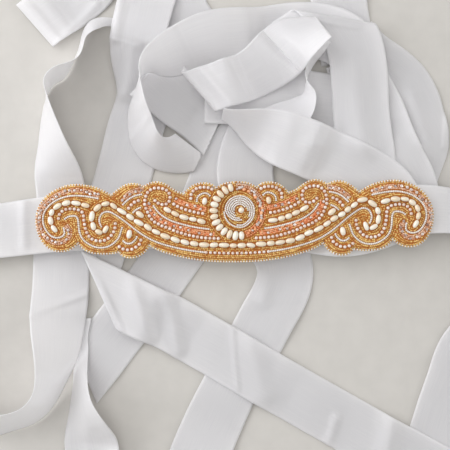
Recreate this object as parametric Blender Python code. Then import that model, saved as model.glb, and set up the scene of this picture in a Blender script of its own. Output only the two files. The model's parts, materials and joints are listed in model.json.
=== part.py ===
"""Bridal sash: a long satin ribbon dropped in a loose heap, with a beaded applique sewn on its middle.

Plan sizes in the tables are millimetres from the middle of the applique, +X to the right and +Y to the top of
the plan; meshes are metres, and the parent empty moves them all to the world's origin. Every stretch of ribbon
is a flat strip of constant wall that follows its centre line, leans by its own angle and lies on whatever
stretches were laid before it.
"""
import math
from collections import namedtuple

import bmesh
import bpy
import numpy as np
from mathutils import Vector

MM = 0.001
RIBBON_WIDTH = 52.0
WALL = 1.0
LAYER_GAP = 0.9
SEAM_GAP = 0.5
FINE_STEP = 2.0
LONG_STEP = 26.0
TURN_STEP = 16.0
TWIST_STEP = 9.0
COLUMNS = 3
EASE = 14.0

GRID_HALF_X = 380.0
GRID_HALF_Y = 350.0
GRID_CELL = 1.5

SATIN = (0.93, 0.93, 0.95)
FELT = (0.86, 0.76, 0.62)
GOLD = (0.80, 0.50, 0.20)
IVORY = (0.95, 0.88, 0.76)

Row = namedtuple("Row", "x y lean width", defaults=(0.0, RIBBON_WIDTH))
Fold = namedtuple("Fold", "crease radius hidden")
Seam = namedtuple("Seam", "first second x y heading")
Stretch = namedtuple("Stretch", "name rows fold end_slant", defaults=(None, 0.0))

# Lean is in degrees, positive with the left edge up when looking along the stretch. Stretches are listed in the
# order in which they lie, the lowest first. A fold is a rounded crease at the first row: the ribbon comes from
# underneath, its crease runs at the angle given, and the hidden length lies under the stretch itself.
STRETCHES = (
    Stretch("ribbon_top_tail", (
        Row(97, 232, 4), Row(97, 203), Row(101, 175), Row(106, 146))),
    Stretch("ribbon_top_back", (
        Row(-30, 160), Row(-40, 178), Row(-49, 193), Row(-54, 210), Row(-52, 235), Row(-44, 260), Row(-36, 285))),
    Stretch("ribbon_top_fold", (
        Row(-184, 182), Row(-160, 199), Row(-141, 213), Row(-125, 229, 16), Row(-116, 246, 16), Row(-114, 262, 6)),
        fold=Fold(-49.4, 2.5, 12.0)),
    Stretch("ribbon_right_loop", (
        Row(262, -14), Row(276, -22, -14), Row(292, -43, -40), Row(295, -68, -52), Row(284, -89, -46),
        Row(263, -101, -30), Row(240, -106, -8), Row(221, -112, 6), Row(208, -127, 4), Row(200, -148),
        Row(191, -173), Row(182, -201), Row(173, -230), Row(163, -262)), end_slant=14.0),
    Stretch("ribbon_left_cross", (
        Row(24, 95), Row(9, 78), Row(-5, 61), Row(-16, 42), Row(-25, 20), Row(-38, -2), Row(-58, -30),
        Row(-86, -68), Row(-112, -101), Row(-129, -123), Row(-143, -140)), end_slant=14.0),
    Stretch("ribbon_lower_turn", (
        Row(-147, -88, 0, 24), Row(-146, -104, 0, 14), Row(-144, -117, 3, 9), Row(-145, -127, 36, 14),
        Row(-145, -143, 60, 30), Row(-144, -160, 60, 46), Row(-141, -180, 44), Row(-137, -205, 8),
        Row(-131, -232, 26), Row(-115, -259, 50), Row(-88, -271, 54), Row(-63, -264, 46),
        Row(-48, -246, 24, 54), Row(-42, -228, 8, 55))),
    Stretch("ribbon_left_loop", (
        Row(-162, 0), Row(-163, -34), Row(-164, -70, -8), Row(-164.5, -92, -25), Row(-164, -114, -43),
        Row(-167, -135, -61), Row(-172, -150, -69), Row(-181, -165, -69), Row(-194, -175, -66),
        Row(-211, -180, -65), Row(-233, -183, -56), Row(-257, -181, -44), Row(-282, -173, -38), Row(-306, -157, -44),
        Row(-323, -131, -52), Row(-331, -96, -54), Row(-326, -58, -50), Row(-307, -28, -36),
        Row(-288, -15, -14), Row(-275, -12, -5))),
    Stretch("ribbon_left_drop", (
        Row(-84, 176, 0, 24), Row(-98, 182, 0, 12), Row(-112, 185, 4, 7), Row(-121, 185, 20, 8),
        Row(-128, 182, 48, 16), Row(-134, 174, 72, 32), Row(-138, 163, 79), Row(-141, 153, 75),
        Row(-146, 146, 74), Row(-153, 140, 94), Row(-161, 134, 95), Row(-168, 128, 92), Row(-171, 116, 80),
        Row(-170, 93, 66), Row(-167, 68, 50), Row(-165, 50, 24, 48), Row(-163, 34, 4, 46), Row(-162, 16, 0, 46),
        Row(-162, 1, 0))),
    Stretch("ribbon_right_cross", (
        Row(27, 95), Row(16, 75), Row(9, 54), Row(9, 34), Row(15, 12), Row(27, -10), Row(38, -27),
        Row(44, -46), Row(40, -66), Row(29, -86), Row(18, -106), Row(4, -131), Row(-9, -155),
        Row(-23, -183, 0, 54), Row(-36, -212, 3, 55), Row(-42, -227, 8, 55))),
    Stretch("ribbon_right_edge", (
        Row(107, 166), Row(123, 149), Row(140, 137), Row(157, 121, -3), Row(168, 98, -4), Row(178, 81, -10, 40),
        Row(184, 63, -24, 26), Row(181, 46, -20, 18), Row(174, 28, -6, 18), Row(162, 10, 0, 24))),
    Stretch("ribbon_right_inner", (
        Row(109, 147), Row(117, 124), Row(129, 100), Row(139, 71), Row(150, 47), Row(159, 27), Row(161, 8))),
    Stretch("ribbon_top_drop", (
        Row(-40, 300), Row(-47, 280), Row(-57, 258), Row(-68, 235), Row(-76, 218), Row(-81, 203, 2),
        Row(-86, 184, 4), Row(-89, 166, 6), Row(-88, 150, 7), Row(-84, 130, 5), Row(-84, 114, 2), Row(-90, 95),
        Row(-98, 66, -4), Row(-107, 35), Row(-116, 9), Row(-124, -11), Row(-131, -31)),
        end_slant=34.0),
    Stretch("ribbon_top_arch", (
        Row(97, 233, 5), Row(95, 254, 30), Row(80, 279, 50), Row(50, 294, 45), Row(0, 301, 20),
        Row(-50, 305, 20), Row(-83, 300, 40), Row(-106, 284, 44), Row(-114, 263, 10))),
    Stretch("ribbon_diagonal", (
        Row(-125, -63), Row(-105, -73), Row(-85, -83), Row(-64, -93), Row(-40, -107), Row(-20, -118.5), Row(19, -142),
        Row(56, -164), Row(97, -188), Row(139, -212), Row(184, -237), Row(212, -252)),
        fold=Fold(-66.5, 2.2, 10.0), end_slant=-16.0),
    Stretch("ribbon_under_strip", (
        Row(-80, 137), Row(-67, 126), Row(-55, 115), Row(-37, 102), Row(-15, 82), Row(-1, 66))),
    Stretch("ribbon_mid_strip", (
        Row(-28, 116), Row(0, 115), Row(32, 115), Row(69, 111), Row(108, 103))),
    Stretch("ribbon_heap_ring", (
        Row(111, 156), Row(97, 167), Row(77, 174), Row(51, 175), Row(15, 170, -2), Row(-8, 168, -12),
        Row(-35, 161, -36), Row(-55, 151, -43), Row(-69, 145, -58), Row(-78, 141, -76), Row(-83, 136, -92),
        Row(-86, 128, -96), Row(-87, 117, -102), Row(-88, 102, -114), Row(-87, 92, -120), Row(-84.5, 80, -124, 50),
        Row(-78, 68, -127, 46), Row(-66, 61, -132, 42), Row(-50, 62, -146, 42), Row(-34, 70, -166, 46)), end_slant=-8.0),
    Stretch("ribbon_heap_drop", (
        Row(96, 182), Row(108, 163), Row(112, 145), Row(114, 122), Row(115, 97), Row(117, 74), Row(119, 50),
        Row(112, 28), Row(101, 10)),
        fold=Fold(-10.0, 3.0, 14.0)),
    Stretch("ribbon_heap_return", (
        Row(84, 164, -50, 14), Row(77, 153, -62, 14), Row(70, 144, -64, 15), Row(66, 135, -68, 15),
        Row(65, 128, -82, 16), Row(66, 121, -100, 18), Row(67, 115, -122, 22), Row(64, 108, -136, 29),
        Row(57, 100, -146, 34), Row(46, 93, -158, 36), Row(34, 87, -170, 36))),
    Stretch("ribbon_heap_fold", (
        Row(-29, 117, 0, 42), Row(-12, 122, 8, 42), Row(5, 128, 24, 46), Row(22, 137, 28, 50), Row(39, 150, 8),
        Row(53, 161, -22), Row(66, 167, -42), Row(79, 172, -60)),
        fold=Fold(-50.0, 3.6, 7.0)),
    Stretch("ribbon_heap_sweep", (
        Row(-12, 96, 78, 30), Row(-4, 93, 72, 32), Row(8, 88, 54, 42), Row(24, 81, 32, 48), Row(43, 73, 14),
        Row(61, 66, 4), Row(90, 53), Row(120, 38), Row(137, 25), Row(147, 6))),
    Stretch("ribbon_waist", (
        Row(-275, -12, -4), Row(-248, -8, -14), Row(-220, -6, -16), Row(-184, -2, -8), Row(-127, 1), Row(-71, 1),
        Row(0, 0), Row(58, -3), Row(98, -8), Row(125, -3), Row(150, 5, 0, 50), Row(175, 8, -4, 44),
        Row(200, 6, -14, 42), Row(222, 3, -20, 46), Row(244, -5, -12), Row(262, -14, 0))),
)

# Where two solids of the one ribbon meet end to end, with the common heading of both in degrees.
SEAMS = (
    Seam("ribbon_left_drop", "ribbon_left_loop", -162, 0, -91),
    Seam("ribbon_right_cross", "ribbon_lower_turn", -42, -227, -113),
    Seam("ribbon_top_tail", "ribbon_top_arch", 97, 232, 91),
    Seam("ribbon_top_fold", "ribbon_top_arch", -114, 262, 91),
    Seam("ribbon_left_loop", "ribbon_waist", -275, -12, 8),
    Seam("ribbon_waist", "ribbon_right_loop", 262, -14, -25),
)

Edge = namedtuple("Edge", "x y notch", defaults=(False,))

# Right half of the scalloped edge, from the top of the middle round to the bottom; the left half mirrors it.
OUTLINE = (
    Edge(0, 35), Edge(10, 34), Edge(19, 29.5, True), Edge(23, 33), Edge(30, 34.5), Edge(38, 33), Edge(44, 29),
    Edge(48, 24.5, True), Edge(56, 27.5), Edge(64, 33), Edge(73, 36), Edge(80, 34.5), Edge(85, 31.8, True),
    Edge(92, 34.5), Edge(100, 34), Edge(108, 29.5), Edge(114.5, 24.2, True), Edge(121, 28), Edge(130, 32),
    Edge(140, 34), Edge(150, 34.4), Edge(160, 32), Edge(169, 27.5), Edge(176, 21), Edge(181, 12),
    Edge(182.5, 2), Edge(181, -8), Edge(177.5, -16), Edge(171, -22.5), Edge(163, -25.3), Edge(154, -24),
    Edge(145, -17.5, True), Edge(141, -22.5), Edge(134, -26.5), Edge(124, -28), Edge(115, -27.8),
    Edge(108, -26.6, True), Edge(104, -30.5), Edge(97, -32), Edge(89.5, -30), Edge(83.5, -25),
    Edge(80.5, -20.5, True), Edge(72, -25.2), Edge(62, -28.8), Edge(50, -32), Edge(37, -34.5), Edge(20, -36.4),
    Edge(0, -37),
)
# The left half is worked a little longer than the right.
SHARE_LEFT = 0.992
SHARE_RIGHT = 0.966
SHARE_DEEP = 0.98
BACKING_WALL = 1.2
BED_INSET = 1.6
BED_HEIGHT = 2.2
BED_BEVEL = 0.8
PEARL_LONG = 8.6
PEARL_RADIUS = 2.0
SIDES = 6

Point = namedtuple("Point", "x y")
LOBE_CHAIN = (
    Point(134, 14.5), Point(145, 18), Point(153, 18.5), Point(161.5, 16.4), Point(168, 10.4), Point(169, 2),
    Point(164, -8.5))
SWAG_CHAIN = (
    Point(0, -22.7), Point(26, -21.8), Point(41.5, -20.2), Point(55.5, -16.9), Point(66.5, -12.5), Point(78, -7.4),
    Point(88, -0.9), Point(96.3, 4), Point(103.3, 8.8), Point(109.3, 13), Point(116.7, 17.2), Point(124.5, 15.4),
    Point(130.6, 9), Point(131.6, 0), Point(128.4, -7), Point(121.6, -8.8), Point(118.4, -2.4))
TIER_CHAIN = (Point(66.6, 12.8), Point(56.3, 7), Point(47.9, 3.7), Point(39.3, 1.5), Point(28.6, -1))
RING_MIDDLE = Point(1.0, 8.8)
RING_RADIUS = 22.2
RING_FROM = 100.0
RING_TO = 284.0
RING_PEARLS = 13
CENTRE_MIDDLE = Point(3.0, 9.2)
CENTRE_RADIUS = 13.6
CENTRE_HEIGHT = 2.6
Pearl = namedtuple("Pearl", "name x y long radius turn")
SINGLE_PEARLS = (
    Pearl("pearl_rosette", 3.8, 9.6, 5.2, 2.6, 60.0),
    Pearl("pearl_oval_low_left", -98.2, -10.9, 8.0, 2.5, 80.0),
    Pearl("pearl_oval_low_right", 98.2, -10.9, 8.0, 2.5, 100.0),
    Pearl("pearl_drop_left", -88.2, 7.0, 8.2, 2.5, -38.0),
    Pearl("pearl_drop_right", 88.2, 7.0, 8.2, 2.5, 38.0),
    Pearl("pearl_oval_top_left", -29.4, 18.4, 6.6, 2.3, 80.0),
    Pearl("pearl_oval_top_right", 29.4, 18.4, 6.6, 2.3, 100.0),
)


def natural_spline(knots, values, at):
    """Smooth curve of continuous curvature through values at the knots, read at the places given."""
    knots = np.asarray(knots, float)
    values = np.asarray(values, float)
    count = len(knots)
    gaps = np.diff(knots)
    matrix = np.zeros((count, count))
    right = np.zeros((count,) + values.shape[1:])
    matrix[0, 0] = matrix[-1, -1] = 1.0
    for index in range(1, count - 1):
        matrix[index, index - 1] = gaps[index - 1]
        matrix[index, index] = 2.0 * (gaps[index - 1] + gaps[index])
        matrix[index, index + 1] = gaps[index]
        slope_after = (values[index + 1] - values[index]) / gaps[index]
        slope_before = (values[index] - values[index - 1]) / gaps[index - 1]
        right[index] = 6.0 * (slope_after - slope_before)
    bend = np.linalg.solve(matrix, right)
    at = np.asarray(at, float)
    cell = np.clip(np.searchsorted(knots, at) - 1, 0, count - 2)
    width = gaps[cell]
    ahead = knots[cell + 1] - at
    behind = at - knots[cell]
    if values.ndim > 1:
        width, ahead, behind = width[:, None], ahead[:, None], behind[:, None]
    curve = (bend[cell] * ahead ** 3 + bend[cell + 1] * behind ** 3) / (6.0 * width)
    curve += (values[cell] / width - bend[cell] * width / 6.0) * ahead
    curve += (values[cell + 1] / width - bend[cell + 1] * width / 6.0) * behind
    return curve


def even_curve(points, step):
    """Points at an even step along the smooth curve through the points given, with their distances."""
    points = np.asarray(points, float)
    knots = np.concatenate([[0.0], np.cumsum(np.hypot(*np.diff(points, axis=0).T))])
    dense = natural_spline(knots, points, np.linspace(0.0, knots[-1], int(knots[-1] * 4) + 2))
    run = np.concatenate([[0.0], np.cumsum(np.hypot(*np.diff(dense, axis=0).T))])
    count = max(3, int(round(run[-1] / step)) + 1)
    places = np.linspace(0.0, run[-1], count)
    curve = np.stack([np.interp(places, run, dense[:, axis]) for axis in range(2)], axis=1)
    knot_places = np.interp(knots, np.linspace(0.0, knots[-1], len(run)), run)
    return curve, places, knot_places


def box_smooth(values, reach):
    """Running mean over the whole number of samples given on both sides, with the ends held."""
    if reach < 1:
        return values
    padded = np.pad(values, reach, mode="edge")
    sums = np.concatenate([[0.0], np.cumsum(padded)])
    size = 2 * reach + 1
    return (sums[size:] - sums[:-size]) / size


def spread_up(values, reach):
    """Running maximum over the whole number of samples given on both sides."""
    padded = np.pad(values, reach, mode="edge")
    return np.max([padded[shift:shift + len(values)] for shift in range(2 * reach + 1)], axis=0)


class HeightMap:
    """Tops of everything laid so far, one layer for each stretch, on a square grid in plan."""

    def __init__(self):
        self.columns = int(2 * GRID_HALF_X / GRID_CELL)
        self.lines = int(2 * GRID_HALF_Y / GRID_CELL)
        self.layers = {}

    def cells(self, x, y):
        column = np.clip(((x + GRID_HALF_X) / GRID_CELL).astype(int), 1, self.columns - 2)
        line = np.clip(((y + GRID_HALF_Y) / GRID_CELL).astype(int), 1, self.lines - 2)
        return line, column

    def lay(self, name, x, y, z):
        """Adds the tops of a stretch, widened by one cell all round."""
        layer = np.zeros((self.lines, self.columns))
        line, column = self.cells(x.ravel(), y.ravel())
        np.maximum.at(layer, (line, column), z.ravel())
        wide = layer.copy()
        for down in (-1, 0, 1):
            for across in (-1, 0, 1):
                wide = np.maximum(wide, np.roll(np.roll(layer, down, axis=0), across, axis=1))
        self.layers[name] = wide

    def top(self, x, y, seams=()):
        """Highest top under each place; a stretch joined at a seam doesn't count close to the seam."""
        line, column = self.cells(x, y)
        highest = np.zeros(x.shape)
        for name, layer in self.layers.items():
            heights = layer[line, column]
            for seam in seams:
                if name in (seam.first, seam.second):
                    near = np.hypot(x - seam.x, y - seam.y) < 1.7 * RIBBON_WIDTH
                    heights = np.where(near, 0.0, heights)
            highest = np.maximum(highest, heights)
        return highest


class Strip:
    """One stretch of ribbon: its centre line, lean, width and height, and the surface they give."""

    def __init__(self, stretch, ground):
        self.stretch = stretch
        self.line, self.places, knots = even_curve([(row.x, row.y) for row in stretch.rows], FINE_STEP)
        self.step = self.places[1]
        self.length = self.places[-1]
        reach = int(round(9.0 / self.step))
        lean = np.interp(self.places, knots, [row.lean for row in stretch.rows])
        width = np.interp(self.places, knots, [row.width for row in stretch.rows])
        self.lean = np.radians(box_smooth(lean, reach))
        self.width = box_smooth(width, reach)
        along = np.gradient(self.line, axis=0)
        self.along = along / np.linalg.norm(along, axis=1)[:, None]
        self.seams = [seam for seam in SEAMS if stretch.name in (seam.first, seam.second)]
        for seam in self.seams:
            self.square_end(seam)
        self.fold = stretch.fold
        self.skew = np.zeros(len(self.places))
        self.before = 0.0
        self.start = self.line[0]
        if self.fold:
            self.set_fold()
        if stretch.end_slant:
            ease = np.clip(1.0 - (self.length - self.places) / 70.0, 0.0, 1.0)
            self.skew += stretch.end_slant * ease ** 2 * (3.0 - 2.0 * ease)
        self.base = np.full(len(self.places), WALL / 2)
        self.base = self.rest_on(ground)

    def square_end(self, seam):
        """Turns the sections near the end at a seam square to the seam's heading."""
        ahead = np.array([math.cos(math.radians(seam.heading)), math.sin(math.radians(seam.heading))])
        away = self.places
        if np.hypot(*(self.line[-1] - (seam.x, seam.y))) < np.hypot(*(self.line[0] - (seam.x, seam.y))):
            away = self.length - self.places
        end = np.argmin(away)
        if ahead @ self.along[end] < 0.0:
            ahead = -ahead
        ease = np.clip(1.0 - away / 24.0, 0.0, 1.0)[:, None]
        ease = ease ** 2 * (3.0 - 2.0 * ease)
        self.along = self.along * (1.0 - ease) + ahead * ease
        self.along /= np.linalg.norm(self.along, axis=1)[:, None]

    def set_fold(self):
        """Crease direction, its normal toward the upper layer, and the slant of the sections at the fold."""
        crease = np.array([math.cos(math.radians(self.fold.crease)), math.sin(math.radians(self.fold.crease))])
        ahead = self.along[0]
        left = np.array([-ahead[1], ahead[0]])
        if crease @ left < 0:
            crease = -crease
        self.crease = crease
        inward = np.array([crease[1], -crease[0]])
        self.inward = inward if inward @ ahead > 0 else -inward
        slant = 0.5 * RIBBON_WIDTH * (crease @ ahead) / (crease @ left)
        fade = abs(slant) * 2.2 + 20.0
        ease = np.clip(1.0 - self.places / fade, 0.0, 1.0)
        self.skew = slant * ease ** 2 * (3.0 - 2.0 * ease)
        self.before = (self.fold.hidden + math.pi * self.fold.radius) / (self.inward @ ahead)
        self.zone = abs(slant) + self.fold.hidden

    def read(self, values, place):
        return np.interp(np.clip(place, 0.0, self.length), self.places, values)

    def surface(self, place, across):
        """Point of the middle of the wall at a distance along and a share (-1 to 1) across the ribbon."""
        place = np.asarray(place, float)
        across = np.asarray(across, float)
        inside = np.clip(place, 0.0, self.length)
        outside = place - inside
        tangent = np.stack([self.read(self.along[:, axis], place) for axis in range(2)], axis=-1)
        tangent /= np.linalg.norm(tangent, axis=-1)[..., None]
        centre = np.stack([self.read(self.line[:, axis], place) for axis in range(2)], axis=-1)
        centre = centre + outside[..., None] * tangent
        lean = self.read(self.lean, place)
        half = 0.5 * self.read(self.width, place)
        side = np.stack([-tangent[..., 1], tangent[..., 0]], axis=-1)
        plan = centre + (across * half * np.cos(lean))[..., None] * side
        height = self.read(self.base, place) + half * np.sqrt(np.sin(lean) ** 2 + 1e-4) - half * 0.01
        height = height + across * half * np.sin(lean)
        if not self.fold:
            return plan, height
        beyond = -((plan - self.start) @ self.inward)
        radius = self.fold.radius
        angle = np.clip(beyond / radius, 0.0, math.pi)
        new = np.where(beyond <= 0.0, -beyond, -radius * np.sin(angle) + np.maximum(beyond - math.pi * radius, 0.0))
        plan = plan + (new + beyond)[..., None] * self.inward
        return plan, height - radius * (1.0 - np.cos(angle))

    def sheet(self, step, spacing):
        """Even sample of the whole surface: places along, shares across, plan points and heights."""
        places = np.arange(-self.before, self.length + 0.5 * step, step)
        shares = np.linspace(-1.0, 1.0, int(RIBBON_WIDTH / spacing) + 1)
        along, across = np.meshgrid(places, shares, indexing="ij")
        shifted = along + across * self.read(self.skew, along)
        plan, height = self.surface(shifted, across)
        return places, shares, plan, height

    def rest_on(self, ground):
        """Height of the lower edge along the stretch, so that it clears what lies beneath it."""
        places, shares, plan, height = self.sheet(self.step, 1.0)
        below = ground.top(plan[..., 0], plan[..., 1], self.seams)
        low = height - WALL / 2
        room = np.where(below > 0.0, below + LAYER_GAP - low, -low)
        need = WALL / 2 + np.maximum(room.max(axis=1), 0.0)
        if self.fold:
            zone = places < self.zone
            need[zone] = need[zone].max()
            held = need[zone][0]
            need = np.interp(self.places, places, need)
            need[self.places < self.zone] = held
        else:
            need = np.interp(self.places, places, need)
        reach = int(round(EASE / self.step))
        need = spread_up(need, reach)
        for share in (reach // 2, reach // 3, reach - reach // 2 - reach // 3):
            need = box_smooth(need, share)
        return need

    def sections(self):
        """Distances along the stretch of the sections of its solid, closer where it turns, leans or folds."""
        fine = np.arange(-self.before, self.length + 1e-6, 0.5)
        if self.length - fine[-1] > 1e-6:
            fine = np.append(fine, self.length)
        left, right = self.edges(fine)
        across = left - right
        across /= np.linalg.norm(across, axis=1)[:, None]
        middle = 0.5 * (left + right)
        ahead = np.gradient(middle, axis=0)
        ahead /= np.linalg.norm(ahead, axis=1)[:, None]
        turn = np.degrees(np.arccos(np.clip(np.sum(ahead[1:] * ahead[:-1], axis=1), -1, 1)))
        twist = np.degrees(np.arccos(np.clip(np.sum(across[1:] * across[:-1], axis=1), -1, 1)))
        run = np.diff(fine)
        effort = np.concatenate([[0.0], np.cumsum(run / LONG_STEP + turn / TURN_STEP + twist / TWIST_STEP)])
        count = int(math.ceil(effort[-1])) + 1
        return np.interp(np.linspace(0.0, effort[-1], count), effort, fine)

    def edges(self, places):
        skew = self.read(self.skew, places)
        points = []
        for share in (1.0, -1.0):
            plan, height = self.surface(places + share * skew, np.full(len(places), share))
            points.append(np.column_stack([plan, height]))
        return points

    def grid(self):
        """Rows of points across the ribbon, one row for each section."""
        places = self.sections()
        if self.seams:
            places = np.clip(places, SEAM_GAP / 2, self.length - SEAM_GAP / 2)
        left, right = self.edges(places)
        shares = np.linspace(0.0, 1.0, COLUMNS)[None, :, None]
        return left[:, None, :] * (1.0 - shares) + right[:, None, :] * shares


def new_material(name, colour, roughness, metallic=0.0):
    material = bpy.data.materials.new(name)
    material.use_nodes = True
    shader = material.node_tree.nodes["Principled BSDF"]
    shader.inputs["Base Color"].default_value = (*colour, 1.0)
    shader.inputs["Roughness"].default_value = roughness
    shader.inputs["Metallic"].default_value = metallic
    return material


def new_object(name, mesh, material, parent):
    thing = bpy.data.objects.new(name, mesh)
    bpy.context.scene.collection.objects.link(thing)
    mesh.materials.append(material)
    thing.parent = parent
    return thing


def face_outward(work):
    """Turns the faces of a closed body so that they point out."""
    bmesh.ops.recalc_face_normals(work, faces=work.faces[:])
    if work.calc_volume(signed=True) < 0.0:
        bmesh.ops.reverse_faces(work, faces=work.faces[:])


def ribbon_object(strip, parent):
    """Stretch of ribbon as a sheet of triangles with a Solidify wall."""
    rows = strip.grid() * MM
    work = bmesh.new()
    verts = [[work.verts.new(point) for point in row] for row in rows]
    for before, after in zip(verts[:-1], verts[1:]):
        for column in range(COLUMNS - 1):
            corner = (before[column], before[column + 1], after[column + 1], after[column])
            work.faces.new((corner[0], corner[1], corner[2]))
            work.faces.new((corner[0], corner[2], corner[3]))
    mesh = bpy.data.meshes.new(strip.stretch.name)
    work.to_mesh(mesh)
    work.free()
    mesh.shade_smooth()
    material = new_material(strip.stretch.name + "_satin", SATIN, 0.35)
    thing = new_object(strip.stretch.name, mesh, material, parent)
    wall = thing.modifiers.new("wall", "SOLIDIFY")
    wall.thickness = WALL * MM
    wall.offset = 0.0
    wall.use_even_offset = True
    return thing


def worked(point):
    """Plan place on the finished applique of a point of its drawn half."""
    share = SHARE_RIGHT if point[0] > 0.0 else SHARE_LEFT
    return np.array([point[0] * share, point[1] * SHARE_DEEP])


def smooth_runs(edges):
    """Outline of the right half as a run of points, curved between notches and pointed at them."""
    runs = []
    current = [edges[0]]
    for edge in edges[1:]:
        current.append(edge)
        if edge.notch:
            runs.append(current)
            current = [edge]
    runs.append(current)
    points = []
    for run in runs:
        curve, _, _ = even_curve([(edge.x, edge.y) for edge in run], 4.0)
        points.extend(curve[:-1])
    points.append(np.array([edges[-1].x, edges[-1].y], float))
    return points


def applique_outline(inset):
    """Closed outline of the applique in plan, moved in by the inset."""
    half = smooth_runs(OUTLINE)
    left = [np.array([-point[0], point[1]]) for point in half[1:-1]]
    points = np.array([worked(point) for point in half + left[::-1]])
    if inset == 0.0:
        return points
    ahead = np.roll(points, -1, axis=0) - np.roll(points, 1, axis=0)
    ahead /= np.linalg.norm(ahead, axis=1)[:, None]
    moved = points + inset * np.column_stack([ahead[:, 1], -ahead[:, 0]])
    clear = np.array([np.hypot(*(points - point).T).min() > 0.93 * inset for point in moved])
    return moved[clear]


def slab_object(name, outline, low, height, bevel, material, parent):
    """Flat plate of an outline, with its upper edge bevelled."""
    work = bmesh.new()
    face = work.faces.new([work.verts.new((x * MM, y * MM, low * MM)) for x, y in outline])
    face.normal_update()
    if face.normal.z > 0:
        face.normal_flip()
    grown = bmesh.ops.extrude_face_region(work, geom=[face])
    top = [item for item in grown["geom"] if isinstance(item, bmesh.types.BMVert)]
    bmesh.ops.translate(work, verts=top, vec=(0.0, 0.0, height * MM))
    if bevel:
        lifted = set(top)
        rim = [edge for edge in work.edges if all(vert in lifted for vert in edge.verts)]
        bmesh.ops.bevel(work, geom=rim, offset=bevel * MM, segments=1, affect="EDGES", clamp_overlap=True)
    face_outward(work)
    mesh = bpy.data.meshes.new(name)
    work.to_mesh(mesh)
    work.free()
    return new_object(name, mesh, material, parent)


def closed_tube(name, centres, rights, radii, material, parent):
    """Closed tube through centres, each with its own half sizes sideways and upward."""
    work = bmesh.new()
    rings = []
    for centre, right, (wide, high) in zip(centres, rights, radii):
        ring = []
        for side in range(SIDES):
            angle = 2.0 * math.pi * (side + 0.5) / SIDES
            point = centre + right * wide * math.cos(angle)
            point = point + np.array([0.0, 0.0, 1.0]) * high * math.sin(angle)
            ring.append(work.verts.new(point * MM))
        rings.append(ring)
    for before, after in zip(rings[:-1], rings[1:]):
        for side in range(SIDES):
            other = (side + 1) % SIDES
            work.faces.new((before[side], before[other], after[other], after[side]))
    work.faces.new(rings[0])
    work.faces.new(rings[-1])
    face_outward(work)
    mesh = bpy.data.meshes.new(name)
    work.to_mesh(mesh)
    work.free()
    mesh.shade_smooth()
    return new_object(name, mesh, material, parent)


def pearl_profile(beads):
    """Places along a chain in beads, with the share of the full radius there."""
    rows = [(0.06, 0.5)]
    for bead in range(beads):
        rows += [(bead + 0.22, 0.9), (bead + 0.5, 1.0), (bead + 0.78, 0.9)]
        rows.append((bead + (1.0 if bead < beads - 1 else 0.94), 0.5))
    return rows


def chain_object(name, points, low, material, parent):
    """Row of rice pearls strung end to end along a curve."""
    curve, places, _ = even_curve([worked(point) for point in points], 0.5)
    beads = int(round(places[-1] / PEARL_LONG))
    ahead = np.gradient(curve, axis=0)
    ahead /= np.linalg.norm(ahead, axis=1)[:, None]
    centres, rights, radii = [], [], []
    for place, share in pearl_profile(beads):
        at = place / beads * places[-1]
        x, y = (np.interp(at, places, curve[:, axis]) for axis in range(2))
        side = [np.interp(at, places, -ahead[:, 1]), np.interp(at, places, ahead[:, 0]), 0.0]
        centres.append(np.array([x, y, low + PEARL_RADIUS]))
        rights.append(np.array(side) / np.linalg.norm(side))
        radii.append((PEARL_RADIUS * share, PEARL_RADIUS * share))
    return closed_tube(name, centres, rights, radii, material, parent)


def ring_object(name, low, material, parent):
    """Part ring of rice pearls that point at the middle of the rosette."""
    centres, rights, radii = [], [], []
    for place, share in pearl_profile(RING_PEARLS):
        angle = math.radians(RING_FROM + (RING_TO - RING_FROM) * place / RING_PEARLS)
        outward = np.array([math.cos(angle), math.sin(angle), 0.0])
        centre = np.append(worked(RING_MIDDLE), low + PEARL_RADIUS + 0.3) + outward * RING_RADIUS
        centres.append(centre)
        rights.append(outward)
        radii.append((3.9 * (0.6 + 0.4 * share), (PEARL_RADIUS + 0.3) * (0.3 + 0.7 * share)))
    return closed_tube(name, centres, rights, radii, material, parent)


def pearl_object(pearl, low, material, parent):
    """Single large pearl lying on its side."""
    work = bmesh.new()
    bmesh.ops.create_uvsphere(work, u_segments=10, v_segments=7, radius=1.0)
    for vert in work.verts:
        x, y, z = vert.co
        vert.co = (z * pearl.long / 2 * MM, x * pearl.radius * MM, y * pearl.radius * MM)
    face_outward(work)
    mesh = bpy.data.meshes.new(pearl.name)
    work.to_mesh(mesh)
    work.free()
    mesh.shade_smooth()
    thing = new_object(pearl.name, mesh, material, parent)
    x, y = worked((pearl.x, pearl.y))
    thing.location = (x * MM, y * MM, (low + pearl.radius) * MM)
    thing.rotation_euler = (0.0, 0.0, math.radians(pearl.turn))
    return thing


def mirrored(points):
    return [Point(-point.x, point.y) for point in points]


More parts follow.
